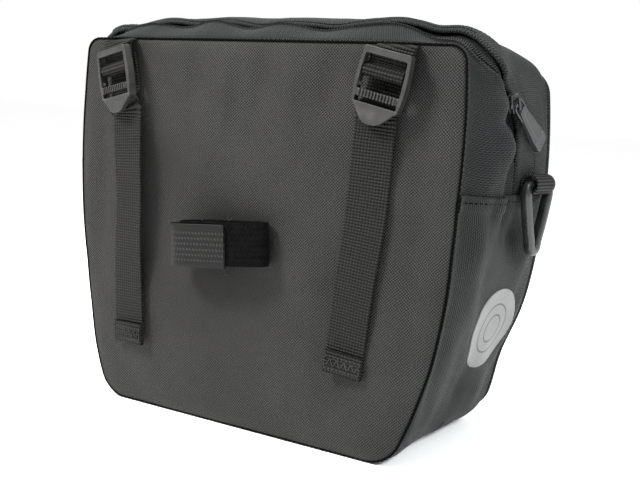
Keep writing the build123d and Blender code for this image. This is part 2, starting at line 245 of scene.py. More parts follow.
def webbing(name, dark, light, pitch=1.75):
    """Ribbed strap: bars across its width, each made of fine threads, with painted highlights on the raised
    bars and painted shade between them.
    """
    tree, shader = new_material(name)
    where, u, v = flat_coordinates(tree)
    bar = wave(tree, scaled(tree, noise_node(tree, where, 400, 2), 0.0005, v), pitch)
    height = scaled(tree, wave(tree, u, 1.9), 0.45, bar)
    fibre = noise_node(tree, where, 1800, 3, 0.6)
    # painted highlight and shade: the colour follows the bars' height, with random fibre tone on top
    tone = scaled(tree, fibre, 0.3, scaled(tree, height, 0.72, -0.26))
    colour = ramp(tree, tone, ((0.1, dark), (0.95, light)))
    return finished(name, tree, shader, colour, 0.6, height, 1.0, 1.0, shine=0.1)


def hook_rows(tree, u, v):
    """The slanting rows of small hooks."""
    return maths(tree, "MULTIPLY", wave(tree, u, 3.3), wave(tree, scaled(tree, u, 0.5, v), 2.4))


def hook_fabric(name):
    """The stiff side of hook-and-loop: rows of small hooks between plain edges."""
    tree, shader = new_material(name)
    where, u, v = flat_coordinates(tree)
    middle, reach = 0.013, 0.0092
    from_middle = maths(tree, "ABSOLUTE", maths(tree, "SUBTRACT", u, middle))
    field = maths(tree, "LESS_THAN", from_middle, reach)
    speck = scaled(tree, noise_node(tree, where, 1500, 2), 1.1, 0.1)
    hooks = maths(tree, "MULTIPLY", maths(tree, "MULTIPLY", hook_rows(tree, u, v), field), speck)
    edge = scaled(tree, wave(tree, v, 0.9), 0.12, 0.16)
    height = maths(tree, "MAXIMUM", hooks, edge)
    colour = ramp(tree, height, ((0.0, 0.001), (0.3, 0.006), (0.85, (0.034, 0.034, 0.0335))))
    return finished(name, tree, shader, colour, 0.5, height, 0.9, 0.5, shine=0.1)


def loop_fabric(name):
    """The soft side of hook-and-loop: a dense nap of fine loops, marked by the hooks."""
    tree, shader = new_material(name)
    where, u, v = flat_coordinates(tree)
    nap = noise_node(tree, where, 1100, 5, 0.75)
    height = scaled(tree, noise_node(tree, where, 260, 3), 0.6, nap)
    height = scaled(tree, hook_rows(tree, u, v), 0.3, height)
    colour = ramp(tree, height, ((0.6, 0.0002), (1.3, 0.003)))
    return finished(name, tree, shader, colour, 0.9, height, 0.9, 0.7, shine=0.03)


def moulded(name, dark, light, rough, shine, grain=0.12):
    """Moulded plastic with a fine spark-eroded grain and handling marks."""
    tree, shader = new_material(name)
    where = tree.nodes.new("ShaderNodeTexCoord").outputs["Object"]
    fine = noise_node(tree, where, 2400, 2, 0.6)
    scuff = noise_node(tree, where, 130, 4, 0.6)
    colour = ramp(tree, scuff, ((0.3, dark), (0.75, light)))
    rough = scaled(tree, scuff, 0.22, rough - 0.11)
    height = scaled(tree, scuff, 0.6, fine)
    return finished(name, tree, shader, colour, rough, height, grain, 0.12, shine=shine)


def cast_metal(name):
    """Plated zinc, slightly uneven."""
    tree, shader = new_material(name)
    where = tree.nodes.new("ShaderNodeTexCoord").outputs["Object"]
    scuff = noise_node(tree, where, 700, 4, 0.65)
    colour = ramp(tree, scuff, ((0.3, (0.03, 0.03, 0.031)), (0.7, (0.09, 0.09, 0.092))))
    rough = scaled(tree, scuff, 0.3, 0.32)
    return finished(name, tree, shader, colour, rough, scuff, 0.2, 0.1, metal=1.0)


def reflective_film(name):
    """Retroreflective film: silver grey with tiny beads, and two plain printed rings."""
    tree, shader = new_material(name)
    where, u, v = flat_coordinates(tree)
    beads = tree.nodes.new("ShaderNodeTexVoronoi")
    beads.inputs["Scale"].default_value = 1500
    tree.links.new(where, beads.inputs["Vector"])
    cloud = maths(tree, "MULTIPLY", noise_node(tree, where, 60, 3), 0.5)
    tone = scaled(tree, beads.outputs["Distance"], 0.35, cloud)
    silver = ramp(tree, tone, ((0.1, (0.085, 0.087, 0.086)), (0.7, (0.15, 0.153, 0.152))))
    squares = [maths(tree, "MULTIPLY", axis, axis) for axis in (u, v)]
    radius = maths(tree, "SQRT", maths(tree, "ADD", *squares))
    half_line = 0.00055
    rings = []
    for printed in (0.0150, 0.0085):
        away = maths(tree, "ABSOLUTE", maths(tree, "SUBTRACT", radius, printed))
        rings.append(maths(tree, "LESS_THAN", away, half_line))
    mix = tree.nodes.new("ShaderNodeMixRGB")
    tree.links.new(maths(tree, "MAXIMUM", *rings), mix.inputs[0])
    tree.links.new(silver, mix.inputs[1])
    mix.inputs[2].default_value = (0.03, 0.03, 0.03, 1)
    height = beads.outputs["Distance"]
    return finished(name, tree, shader, mix.outputs[0], 0.5, height, 0.3, 0.1, metal=0.15)


def fibre_board(name):
    """Grey stiffening board with a pressed grain."""
    tree, shader = new_material(name)
    where = tree.nodes.new("ShaderNodeTexCoord").outputs["Object"]
    grain = noise_node(tree, where, 420, 5, 0.7)
    colour = ramp(tree, grain, ((0.3, 0.03), (0.7, 0.07)))
    return finished(name, tree, shader, colour, 0.7, grain, 0.4, 0.3)


PANEL = canvas("panel_weave", 0.0008, (0.0285, 0.0278, 0.0275), 1.8, 0.1)
GUSSET = canvas("gusset_weave", (0.0006, 0.0007, 0.0008), (0.0215, 0.023, 0.0234), 1.9, 0.8, 1.0)
TAPE = canvas("tape_weave", 0.0006, 0.005, 1.2, 0.4)
STRAP = webbing("strap_webbing", (0.0003, 0.0003, 0.0002), (0.016, 0.016, 0.0143))
TAB = webbing("tab_webbing", 0.001, (0.032, 0.032, 0.0315), 1.8)
HOOK = hook_fabric("hook_fabric")
LOOP = loop_fabric("loop_fabric")
BUCKLE = moulded("buckle_plastic", (0.009, 0.0089, 0.0087), (0.018, 0.0177, 0.0174), 0.44, 0.35)
RING = moulded("ring_plastic", (0.007, 0.0071, 0.0073), (0.016, 0.0162, 0.0166), 0.3, 0.4)
GRIP = moulded("grip_plastic", (0.014, 0.0165, 0.016), (0.026, 0.03, 0.029), 0.45, 0.4, 0.05)
COIL = moulded("coil_nylon", 0.002, 0.01, 0.4, 0.15)
THREAD = moulded("sewing_thread", 0.006, 0.022, 0.6, 0.2, 0.5)
# near black: thread, and the painted shadow of the back seam
THREAD_AND_SEAM_SHADOW = moulded("seam_shadow_thread", 0.0005, 0.002, 0.8, 0.02, 0.5)
ZINC = cast_metal("plated_zinc")
FILM = reflective_film("reflective_film")
BOARD = fibre_board("fibre_board")


# ---------------------------------------------------------------- meshes


def new_piece(name, points, faces, finish, uv=None):
    """A smooth-shaded mesh object from points in mm; uv has one pair for each corner of each face."""
    mesh = bpy.data.meshes.new(name)
    places = np.asarray(points, float).reshape(-1, 3) * MM + (0, BACK, 0)
    mesh.from_pydata(places.tolist(), [], [list(map(int, f)) for f in faces])
    if uv is not None:
        layer = mesh.uv_layers.new(name="flat")
        layer.data.foreach_set("uv", (np.asarray(uv, float) * MM).ravel())
    mesh.shade_smooth()
    mesh.materials.append(finish)
    made = bpy.data.objects.new(name, mesh)
    bpy.context.scene.collection.objects.link(made)
    return made


def settle(made, body, nodes=()):
    """Lets a piece ride on its body, and hides the CAD parts that it stands for."""
    if nodes:
        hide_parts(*nodes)
    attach(made, body)
    return made


def add_modifier(made, kind, **values):
    modifier = made.modifiers.new(kind.lower(), kind)
    for key, value in values.items():
        setattr(modifier, key, value)


def cloth(made, thick, level=1):
    """Rounds the mesh and gives it a fabric's thickness, inwards."""
    if level:
        add_modifier(made, "SUBSURF", levels=level, render_levels=level)
    add_modifier(made, "SOLIDIFY", thickness=thick * MM, offset=-1.0, use_even_offset=False)


def running(points, axis, closed):
    """Mean distance run along one axis of a grid of points."""
    points = np.concatenate([points, np.take(points, [0], axis)], axis) if closed else points
    steps = np.linalg.norm(np.diff(points, axis=axis), axis=-1)
    steps = steps.mean(axis=1 - axis)
    return np.concatenate([[0], np.cumsum(steps)])


def grid_faces(rows, columns, closed):
    """Corners of a grid's faces as (row, column), the column running past the end where it is closed."""
    last = columns if closed else columns - 1
    r, c = np.meshgrid(np.arange(rows - 1), np.arange(last), indexing="ij")
    first = np.stack([r.ravel(), c.ravel()], 1)
    return np.stack([first, first + (1, 0), first + (1, 1), first + (0, 1)], 1)


def grid_piece(name, points, finish, closed=False, flip=False, tube=False):
    """A piece from a grid of points (rows, columns, 3).

    Closed joins its last column to its first. A tube joins its last row to its first, and is capped where
    it isn't closed."""
    rows, columns = points.shape[:2]
    corners = grid_faces(rows + tube, columns, closed)
    if flip:
        corners = corners[:, ::-1]
    faces = (corners[..., 0] % rows * columns + corners[..., 1] % columns).tolist()
    u, v = running(points, 1, closed), running(points, 0, tube)
    uv = np.stack([u[corners[..., 1]], v[corners[..., 0]]], -1).reshape(-1, 2)
    if tube and not closed:
        start = [row * columns for row in range(rows)]
        faces += [start, [i + columns - 1 for i in start[::-1]]]
        uv = np.vstack([uv, np.zeros((2 * rows, 2))])
    return new_piece(name, points, faces, finish, uv)


def cord(name, path, radius, sides, first, finish, closed=True):
    """A round cord along a path."""
    points = tube_points(path, radius, sides, first, closed).transpose(1, 0, 2)
    return grid_piece(name, points, finish, closed, flip=True, tube=True)


def run_along(points):
    """The distance run along a path at each of its points."""
    return np.concatenate([[0], np.cumsum(np.linalg.norm(np.diff(points, axis=0), axis=1))])


def unit(vectors):
    return vectors / np.maximum(np.linalg.norm(vectors, axis=-1, keepdims=True), 1e-9)


def smooth_path(points, count):
    """Evenly spaced points on a smooth curve through the given ones."""
    points = np.array(points, float)
    padded = np.vstack([2 * points[0] - points[1], points, 2 * points[-1] - points[-2]])
    t = np.linspace(0, 1, 24, endpoint=False)[:, None]
    runs = []
    for a, b, c, d in zip(padded, padded[1:], padded[2:], padded[3:]):
        square, cube = 2 * a - 5 * b + 4 * c - d, 3 * b - a - 3 * c + d
        runs.append(0.5 * (2 * b + (c - a) * t + square * t**2 + cube * t**3))
    fine = np.vstack(runs + [points[-1:]])
    length = run_along(fine)
    wanted = np.linspace(0, length[-1], count)
    return np.stack([np.interp(wanted, length, fine[:, k]) for k in range(3)], 1)


def tube_points(path, radius, sides, first, closed=False):
    """Rings of points round a path; first is the direction that each ring starts from."""
    path = np.asarray(path, float)
    if closed:
        tangent = unit(np.roll(path, -1, 0) - np.roll(path, 1, 0))
    else:
        tangent = unit(np.gradient(path, axis=0))
    across = unit(np.cross(tangent, first))
    up = np.cross(across, tangent)
    angle = np.linspace(0, 2 * math.pi, sides, endpoint=False)
    spokes = np.cos(angle)[:, None] * up[:, None] + np.sin(angle)[:, None] * across[:, None]
    return path[:, None] + radius * spokes


def ribbon_section(width, thick):
    """A flat strap's section, as (across, through) points all the way round."""
    half, t = width / 2, thick / 2
    across = [-half + 0.25 * t, -half + 0.9 * t, -half + 3 * t]
    across += list(np.linspace(-half + 5 * t, half - 5 * t, 6))
    across += [half - 3 * t, half - 0.9 * t, half - 0.25 * t]
    through = [0.7 * t, t * 0.97, t, t, t, t, t, t, t, t, t * 0.97, 0.7 * t]
    top = list(zip(across, through))
    bottom = [(a, -b) for a, b in reversed(top)]
    return top + [(half, 0)] + bottom + [(-half, 0)]


def ribbon(name, path, across, width, thick, finish, shape=None):
    """A strap along a path, closed round its section and at its ends, and then given its final shape."""
    path = np.asarray(path, float)
    tangent = unit(np.gradient(path, axis=0))
    across = unit(np.broadcast_to(np.asarray(across, float), path.shape))
    through = unit(np.cross(tangent, across))
    across = np.cross(through, tangent)
    section = np.array(ribbon_section(width, thick))
    points = path[:, None] + section[:, :1] * across[:, None] + section[:, 1:] * through[:, None]
    rows, columns = points.shape[:2]
    corners = grid_faces(rows, columns, True)[:, ::-1]
    faces = (corners[..., 0] * columns + corners[..., 1] % columns).tolist()
    run = running(path[:, None], 0, False)
    flat = np.stack(np.broadcast_arrays(section[:, 0] + width / 2, run[:, None]), -1).reshape(-1, 2)
    if shape:
        points = shape(points)
    faces.append(list(range(columns)))
    faces.append(list(range((rows - 1) * columns, rows * columns))[::-1])
    uv = [flat[i] for f in faces for i in f]
    return new_piece(name, points, faces, finish, uv)


def stitches(name, runs, radius, finish):
    """Thread seen at each stitch. A run is its start, its end and the direction out of the cloth."""
    points, faces = [], []
    sides = 6
    humps = ((0, -0.9), (0.12, 0.1), (0.5, 0.5), (0.88, 0.1), (1, -0.9))
    for start, end, out in runs:
        start, end, out = (np.asarray(v, float) for v in (start, end, out))
        path = [start + (end - start) * t + out * radius * h for t, h in humps]
        across = unit(np.cross(end - start, out))
        up = unit(np.cross(across, end - start))
        first = len(points)
        for centre, share in zip(path, (0.45, 0.95, 1.0, 0.95, 0.45)):
            for k in range(sides):
                angle = 2 * math.pi * k / sides
                points.append(centre + radius * share * (math.cos(angle) * across + math.sin(angle) * up))
        for ring in range(4):
            for k in range(sides):
                a, b = first + ring * sides + k, first + ring * sides + (k + 1) % sides
                faces.append((a, b, b + sides, a + sides))
        faces.append([first + k for k in range(sides)][::-1])
        faces.append([first + 4 * sides + k for k in range(sides)])
    return new_piece(name, points, faces, finish)


def slab(outline, low, high):
    """A closed solid from an (x, z) outline, from y = low to y = high."""
    n = len(outline)
    points = [(x, low, z) for x, z in outline] + [(x, high, z) for x, z in outline]
    faces = [list(range(n)), list(range(2 * n - 1, n - 1, -1))]
    faces += [(i, i + n, (i + 1) % n + n, (i + 1) % n) for i in range(n)]
    return points, faces


def box(x, y, z):
    return slab([(x[0], z[0]), (x[1], z[0]), (x[1], z[1]), (x[0], z[1])], y[0], y[1])


def rod(start, end, radius):
    sides = 16
    rings = tube_points([start, end], radius, sides, (0, 0, 1)).reshape(-1, 3)
    faces = [list(range(sides)), list(range(2 * sides - 1, sides - 1, -1))]
    faces += [(i, i + sides, (i + 1) % sides + sides, (i + 1) % sides) for i in range(sides)]
    return rings.tolist(), faces


def fused(name, solids, voxel, relax, finish, place, shape=None):
    """One moulded piece from overlapping solids: joined, its edges softened, shaped and put in place."""
    points, faces = [], []
    for these, those in solids:
        faces += [[i + len(points) for i in f] for f in those]
        points += [tuple(p) for p in these]
    mesh = bpy.data.meshes.new(name)
    mesh.from_pydata(points, [], faces)
    made = bpy.data.objects.new(name, mesh)
    bpy.context.scene.collection.objects.link(made)
    add_modifier(made, "REMESH", mode="VOXEL", voxel_size=voxel, use_smooth_shade=True)
    add_modifier(made, "SMOOTH", factor=0.5, iterations=relax)
    bpy.context.view_layer.update()
    graph = bpy.context.evaluated_depsgraph_get()
    whole = bpy.data.meshes.new_from_object(made.evaluated_get(graph))
    made.modifiers.clear()
    made.data = whole
    local = np.zeros(len(whole.vertices) * 3)
    whole.vertices.foreach_get("co", local)
    local = local.reshape(-1, 3)
    if shape:
        local = shape(local)
    whole.vertices.foreach_set("co", (place(local) * MM + (0, BACK, 0)).ravel())
    whole.update()
    whole.shade_smooth()
    whole.materials.clear()
    whole.materials.append(finish)
    return made


# ---------------------------------------------------------------- the bag's surface

HALF_LOW, HALF_MID, HALF_HIGH, MID_Z = 100.0, 130.0, 133.0, 105.0
FLARE, DEPTH_AT_BASE, FRONT_LEAN = 0.18, 118.0, 0.12
# Cross-sections from back to front: share of depth, extra half width, base, top, how far the top falls
# towards its corners, low and high corner radii
STATIONS = (
    (0.00, 0.0, 0.0, 235.5, 0.0, 22.0, 9.0),
    (0.22, -1.0, 0.0, 248.5, 10.0, 26.0, 30.0),
    (0.50, -0.5, 0.0, 253.0, 17.0, 28.0, 26.0),
    (0.85, -0.5, 0.0, 250.5, 19.0, 30.0, 13.0),
    (1.00, -1.0, 5.0, 236.0, 9.0, 30.0, 16.0),
)
# The back's outline by height: how far its right edge stands out, and how far its left edge is drawn in
SPREAD_Z, SPREAD = (0.0, 30.0, 60.0, 100.0, 125.0, 150.0), (6.0, 6.2, 5.8, 3.2, 1.2, 0.0)
DRAWN_Z = (0.0, 20.0, 35.0, 60.0, 90.0, 120.0, 160.0, 200.0)
DRAWN_IN = (-2.4, -3.0, -2.2, 1.0, 3.0, 3.2, 4.4, 5.4)
SHOULDER_X, SHOULDER_POWER = 45.0, 2.3  # where the top starts to fall, and how suddenly
# Columns from the middle of the base to the middle of the top: base, corner, side, corner, top
RUNS = (44, 16, 78, 22, 40)
HALF = sum(RUNS)
COLUMNS = 2 * HALF
LAYERS = 60
# Where the zip and the band in front of it lie on the side, by height
ZIP_Z = (165.0, 195.0, 208.0, 216.0, 223.0, 231.0, 241.0, 270.0)
ZIP_Y = (58.0, 50.5, 43.6, 33.0, 23.0, 18.0, 18.5, 22.0)
BAND_Z = (150.0, 175.0, 194.0, 208.0, 219.0, 232.0, 240.0, 270.0)
BAND_Y = (82.0, 78.0, 72.5, 64.0, 51.0, 36.0, 31.0, 33.0)
FOLD_GAIN = 1.25
# Soft folds and bulges of the cloth: centre (x, y, z), reach in x, y and z, and height
FOLDS = (
    (-4, 22, 250, 82, 11, 16, -2.6), (-84, 16, 243, 16, 12, 16, 1.6), (-58, 20, 247, 10, 10, 16, -1.6),
    (-34, 15, 244, 13, 9, 12, 2.8), (-12, 18, 247, 9, 10, 16, -2.2), (14, 16, 244, 13, 9, 12, 2.0),
    (40, 17, 247, 11, 10, 16, -2.0), (84, 18, 243, 20, 10, 12, 2.6), (108, 16, 241, 9, 10, 12, -2.4),
    (127, 14, 232, 9, 8, 10, 2.0), (-112, 20, 240, 14, 14, 14, -2.0), (140, 24, 222, 24, 8, 11, 3.0),
    (140, 36, 216, 24, 6, 6, -2.6), (141, 41, 199, 24, 7, 5, -4.6), (141, 28, 203, 24, 8, 5, 2.2),
    (141, 36, 184, 30, 11, 9, 4.2), (141, 16, 178, 30, 6, 12, -1.8), (141, 26, 166, 30, 6, 9, 1.8),
    (146, 48, 170, 30, 4.5, 15, -3.2), (146, 37, 172, 30, 5, 16, 2.6), (146, 50, 145, 30, 5, 12, -2.6),
    (146, 40, 150, 30, 4, 12, 2.0), (146, 31, 150, 30, 4, 9, -1.8), (150, 64, 132, 30, 8, 10, -3.4),
    (150, 84, 122, 30, 9, 16, 2.2), (146, 24, 128, 30, 5, 16, 1.5), (146, 38, 112, 30, 7, 18, -1.5),
    (146, 30, 70, 40, 7, 18, -2.2), (143, 44, 52, 40, 6, 16, 2.0), (140, 58, 38, 40, 8, 12, -2.6),
    (140, 84, 32, 40, 9, 16, 2.2), (140, 22, 28, 40, 7, 14, 2.0), (146, 98, 64, 40, 7, 18, 1.8),
    (-141, 30, 206, 30, 13, 14, 2.8), (-141, 40, 188, 30, 8, 8, -3.4), (-141, 30, 172, 30, 9, 9, 2.4),
    (-146, 52, 140, 30, 8, 12, -2.4), (-146, 34, 60, 40, 9, 22, -2.2), (-142, 80, 40, 40, 12, 12, 2.2),
    (30, 72, 254, 30, 15, 20, 2.4), (-18, 66, 254, 16, 20, 20, -2.0), (-58, 76, 254, 24, 16, 20, 2.2),
    (-96, 60, 250, 18, 20, 18, -2.2), (96, 66, 248, 18, 18, 16, -2.6), (66, 88, 250, 14, 16, 16, 1.8),
)


def ease(t):
    t = np.clip(t, 0, 1)
    return t * t * (3 - 2 * t)


def station_at(share):
    """The cross-section's sizes at a share of the depth, smoothly between the stations."""
    keys = [row[0] for row in STATIONS]
    i = max(0, min(len(keys) - 2, sum(k <= share for k in keys) - 1))
    gap = keys[i + 1] - keys[i]
    t = (share - keys[i]) / gap

    def slope(j, n):
        a, b = max(j - 1, 0), min(j + 1, len(keys) - 1)
        return (STATIONS[b][n] - STATIONS[a][n]) / (keys[b] - keys[a]) * gap

    return [
        (2 * t**3 - 3 * t**2 + 1) * STATIONS[i][n]
        + (t**3 - 2 * t**2 + t) * slope(i, n)
        + (3 * t**2 - 2 * t**3) * STATIONS[i + 1][n]
        + (t**3 - t**2) * slope(i + 1, n)
        for n in range(1, len(STATIONS[0]))
    ]


def bend(start, start_angle, end, end_angle, handle, count):
    """Points of a rounded corner, without its last."""
    b = start + handle * np.array((math.cos(start_angle), math.sin(start_angle)))
    c = end - handle * np.array((math.cos(end_angle), math.sin(end_angle)))
    t = np.linspace(0, 1, count, endpoint=False)[:, None]
    return (1 - t) ** 3 * start + 3 * (1 - t) ** 2 * t * b + 3 * (1 - t) * t**2 * c + t**3 * end


def half_ring(share):
    """The right half of a cross-section as (x, z), from the middle of the base to the middle of the top."""
    wider, low, high, fall, r_low, r_high = station_at(share)
    wider += FLARE * share * (DEPTH_AT_BASE - FRONT_LEAN * MID_Z)
    corners = (HALF_LOW + wider, low), (HALF_MID + wider, MID_Z), (HALF_HIGH + wider, high - fall)
    foot, waist, head = (np.array(p) for p in corners)
    reach = head[0] - SHOULDER_X
    sides = np.array((waist - foot, head - foot)) * 2
    centre = np.linalg.solve(sides, [waist @ waist - foot @ foot, head @ head - foot @ foot])
    radius = np.linalg.norm(foot - centre)
    low_angle = math.atan2(*(foot - centre)[::-1])
    high_angle = math.atan2(*(head - centre)[::-1])
    quarter = math.pi / 2
    slope = math.atan(SHOULDER_POWER * fall / reach)
    low_turn, high_turn = low_angle + quarter, quarter - high_angle - slope
    low_cut, high_cut = r_low * math.tan(low_turn / 2), r_high * math.tan(high_turn / 2)
    start, end = low_angle + low_cut / radius, high_angle - high_cut / radius

    def on_arc(angle):
        return centre + radius * np.array((math.cos(angle), math.sin(angle)))

    def handle(turn, radius):
        return 4 / 3 * math.tan(turn / 4) * radius

    def top_at(x):
        return high - fall * np.clip((x - SHOULDER_X) / reach, 0, 1) ** SHOULDER_POWER

    base, corner, side, top_corner, top = RUNS
    corner_start = foot - (low_cut, 0)
    end_x = head[0] - high_cut * math.cos(slope)
    top_end = np.array((end_x, top_at(end_x)))
    steepness = max((end_x - SHOULDER_X) / reach, 0) ** (SHOULDER_POWER - 1)
    slope = math.atan(SHOULDER_POWER * fall / reach * steepness)
    top_x = np.linspace(end_x, 0, top + 1)
    parts = [
        np.stack([np.linspace(0, corner_start[0], base, endpoint=False), np.full(base, low)], 1),
        bend(corner_start, 0, on_arc(start), start + quarter, handle(low_turn, r_low), corner),
        np.array([on_arc(a) for a in np.linspace(start, end, side, endpoint=False)]),
        bend(on_arc(end), end + quarter, top_end, math.pi - slope, handle(high_turn, r_high), top_corner),
        np.stack([top_x, top_at(top_x)], 1),
    ]
    return np.vstack(parts)


def surface():
    """The bag's surface as a table of points and one of normals: layers from back to front, columns round."""
    shares = np.linspace(0, 1, LAYERS + 1)
    table = np.zeros((LAYERS + 1, COLUMNS, 3))
    for k, share in enumerate(shares):
        half = half_ring(share)
        left = half * (-1, 1)
        spread = np.interp(half[:, 1], SPREAD_Z, SPREAD) * (1 - ease(share / 0.45))
        pinched = 3.0 * ease((share - 0.5) / 0.45) * np.exp(-(((half[:, 1] - 50) / 24) ** 2))
        half[:, 0] *= 1 + (spread - pinched) / HALF_LOW
        drawn_in = np.interp(left[:, 1], DRAWN_Z, DRAWN_IN)
        left[:, 0] *= 1 - drawn_in * (1 - ease(share / 0.2)) / HALF_MID
        ring = np.vstack([half, left[-2:0:-1]])
        table[k, :, 0] = ring[:, 0]
        table[k, :, 1] = share * (DEPTH_AT_BASE - FRONT_LEAN * ring[:, 1])
        table[k, :, 2] = ring[:, 1]
    smooth = table.copy()
    normals = table_normals(table)
    relief = np.zeros(table.shape[:2])
    for fold in FOLDS:
        relief += FOLD_GAIN * fold[6] * np.exp(-(((table - fold[:3]) / fold[3:6]) ** 2).sum(-1))
    for k, c in np.ndindex(relief.shape):
        p = Vector(table[k, c])
        relief[k, c] += 1.1 * noise.noise(p / 46) + 0.55 * noise.noise(p / 19 + Vector((3, 8, 1)))
        relief[k, c] += 0.22 * noise.noise(p / 8 + Vector((9, 2, 5)))
    y, z = table[..., 1], table[..., 2]
    flank = ease((np.abs(table[..., 0]) - 100) / 20) * ease((z - 20) / 50)
    relief += flank * (3.8 * np.exp(-(((y - 32) / 11) ** 2)) - 4.0 * np.exp(-(((y - 9) / 7) ** 2)))
    held = ease(shares / 0.07) * ease((1 - shares) / 0.08)
    table += normals * ((relief + 0.6) * held[:, None])[..., None]
    table[..., 2] = np.maximum(table[..., 2], 0.3)
    return smooth, table, table_normals(table)


def table_normals(table):
    round_it = np.roll(table, -1, 1) - np.roll(table, 1, 1)
    forwards = np.gradient(table, axis=0)
    return unit(np.cross(forwards, round_it))


SMOOTH, SKIN, NORMALS = surface()
DEPTHS = DEPTH_AT_BASE - FRONT_LEAN * SMOOTH[LAYERS // 2, :, 2]


def skin(column, share, out=0.0):
    """Points on the bag's surface, or that far out of it."""
    column, share, out = np.broadcast_arrays(*(np.asarray(v, float) for v in (column, share, out)))
    c0 = np.floor(column).astype(int)
    k = np.clip(share * LAYERS, 0, LAYERS - 1e-6)
    k0 = np.floor(k).astype(int)
    round_it, forwards = (column - c0)[..., None], (k - k0)[..., None]
    c0, c1 = c0 % COLUMNS, (c0 + 1) % COLUMNS

    def mixed(table):
        low = table[k0, c0] * (1 - round_it) + table[k0, c1] * round_it
        high = table[k0 + 1, c0] * (1 - round_it) + table[k0 + 1, c1] * round_it
        return low * (1 - forwards) + high * forwards

    points = mixed(SKIN) + mixed(NORMALS) * out[..., None]
    points[..., 2] = np.maximum(points[..., 2], 0.25)
    return points


def side_cell(y, z):
    """The column and share of a point on the right side."""
    share = y / (DEPTH_AT_BASE - FRONT_LEAN * z)
    k = min(max(share * LAYERS, 0), LAYERS - 1e-6)
    k0 = int(k)
    heights = SMOOTH[k0, : HALF + 1, 2] * (1 - k + k0) + SMOOTH[k0 + 1, : HALF + 1, 2] * (k - k0)
    first = RUNS[0]
    return first + np.interp(z, heights[first:], np.arange(HALF + 1 - first)), share


def side(y, z, out, hand):
    """Points on the right side (hand 1) or the left side (hand -1)."""
    y, z, out = np.broadcast_arrays(*(np.asarray(v, float) for v in (y, z, out)))
    cells = np.array([side_cell(a, b) for a, b in zip(y.ravel(), z.ravel())]).reshape(*y.shape, 2)
    column = cells[..., 0] if hand == 1 else COLUMNS - cells[..., 0]
    return skin(column, cells[..., 1], out)


def line_shares(heights, depths):
    """Each column's share where a line drawn on the bag crosses it, smoothed along the line."""
    share = np.full(COLUMNS, 0.4)
    for _ in range(8):
        layer = share * LAYERS
        z = np.array([np.interp(k, np.arange(LAYERS + 1), SMOOTH[:, c, 2]) for c, k in enumerate(layer)])
        share = np.interp(z, heights, depths) / (DEPTH_AT_BASE - FRONT_LEAN * z)
    reach = 7
    weights = np.hanning(2 * reach + 3)[1:-1]
    wrapped = np.concatenate([share[-reach:], share, share[:reach]])
    return np.convolve(wrapped, weights / weights.sum(), "valid"), z


ZIP_SHARE, ZIP_HEIGHT = line_shares(ZIP_Z, ZIP_Y)
BAND_SHARE = line_shares(BAND_Z, BAND_Y)[0]
GAP = 0.3 + 4.1 * ease((ZIP_HEIGHT - 172) / 26)
SEAMED = ease((ZIP_HEIGHT - 150) / 10)


def strips(anchors, rows):
    """Rows of points round the bag. A row is (from anchor, to anchor, fraction, extra mm, height in mm)."""
    columns = np.arange(COLUMNS)
    made = []
    for a, b, fraction, extra, out in rows:
        if out <= -2:
            extra = extra * (1.7 * SEAMED - 0.7)
        share = anchors[a] + (anchors[b] - anchors[a]) * fraction + extra / DEPTHS
        if out < 0 and "zip" in (a, b) and fraction in (0, 1):
            out = out * SEAMED
        made.append(skin(columns, share, out))
    return np.array(made)


def across_fold(made, nodes=()):
    """Hides the CAD parts that a piece stands for, and bakes its place into its mesh."""
    if nodes:
        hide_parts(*nodes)
    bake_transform(made)
    return made


def body_shell():
    anchors = {
        "back": np.full(COLUMNS, 1.6 / DEPTH_AT_BASE),
        "zip": ZIP_SHARE - GAP / DEPTHS,
    }
    rows = [("back", "zip", 0, e, h) for e, h in ((0, -1.6), (0.5, -0.5), (1.6, 0.1))]
    rows += [("back", "zip", f, 0, 0.1 + 0.4 * math.sin(math.pi * f)) for f in np.linspace(0.12, 0.84, 12)]
    rolled = (-3.4, 0.55), (-1.8, 0.75), (-0.8, 0.6), (-0.2, -0.1), (0, -1.2), (-0.6, -2.0)
    rows += [("back", "zip", 1, e, h) for e, h in rolled]
    rear = grid_piece("gusset_rear", strips(anchors, rows), GUSSET, closed=True)
    cloth(rear, 1.2)
    nodes = ("base_panel", "side_gusset_right", "side_gusset_left", "top_gusset_rear")
    settle(rear, "bag", nodes)

    anchors = {"zip": ZIP_SHARE + GAP / DEPTHS, "band": BAND_SHARE, "front": np.full(COLUMNS, 1.0)}
    rolled = (0.6, -2.0), (0, -1.2), (0.2, -0.1), (0.8, 0.6), (1.8, 0.9), (3.4, 0.9)
    rows = [("zip", "band", 0, e, h) for e, h in rolled]
    rows += [("zip", "band", f, 0, 0.8) for f in np.linspace(0.28, 0.82, 5)]
    stitched = (-1.8, 0.75), (-0.8, 0.5), (-0.2, -0.1), (0.4, -0.2), (1.2, 0.1)
    rows += [("zip", "band", 1, e, h) for e, h in stitched]
    rows += [("band", "front", f, 0, 0.15) for f in np.linspace(0.12, 0.9, 13)]
    rows += [("band", "front", 1, e, h) for e, h in ((-1.8, 0.0), (-0.6, -0.5), (0, -1.4))]
    front = grid_piece("gusset_front", strips(anchors, rows), GUSSET, closed=True)
    cloth(front, 1.2)
    across_fold(front, ("top_gusset_front", "flap_side_right", "flap_side_left"))


def fan(layer, middle_z, shape):
    """Points from a cross-section's edge in to its middle, ring by ring."""
    edge = SMOOTH[layer]
    centre = np.array((0.0, 0.0, middle_z))
    made = []
    for ring in PANEL_RINGS:
        points = centre + (edge - centre) * ring
        points[:, 1] = shape(ring, points)
        made.append(points)
    return np.array(made)


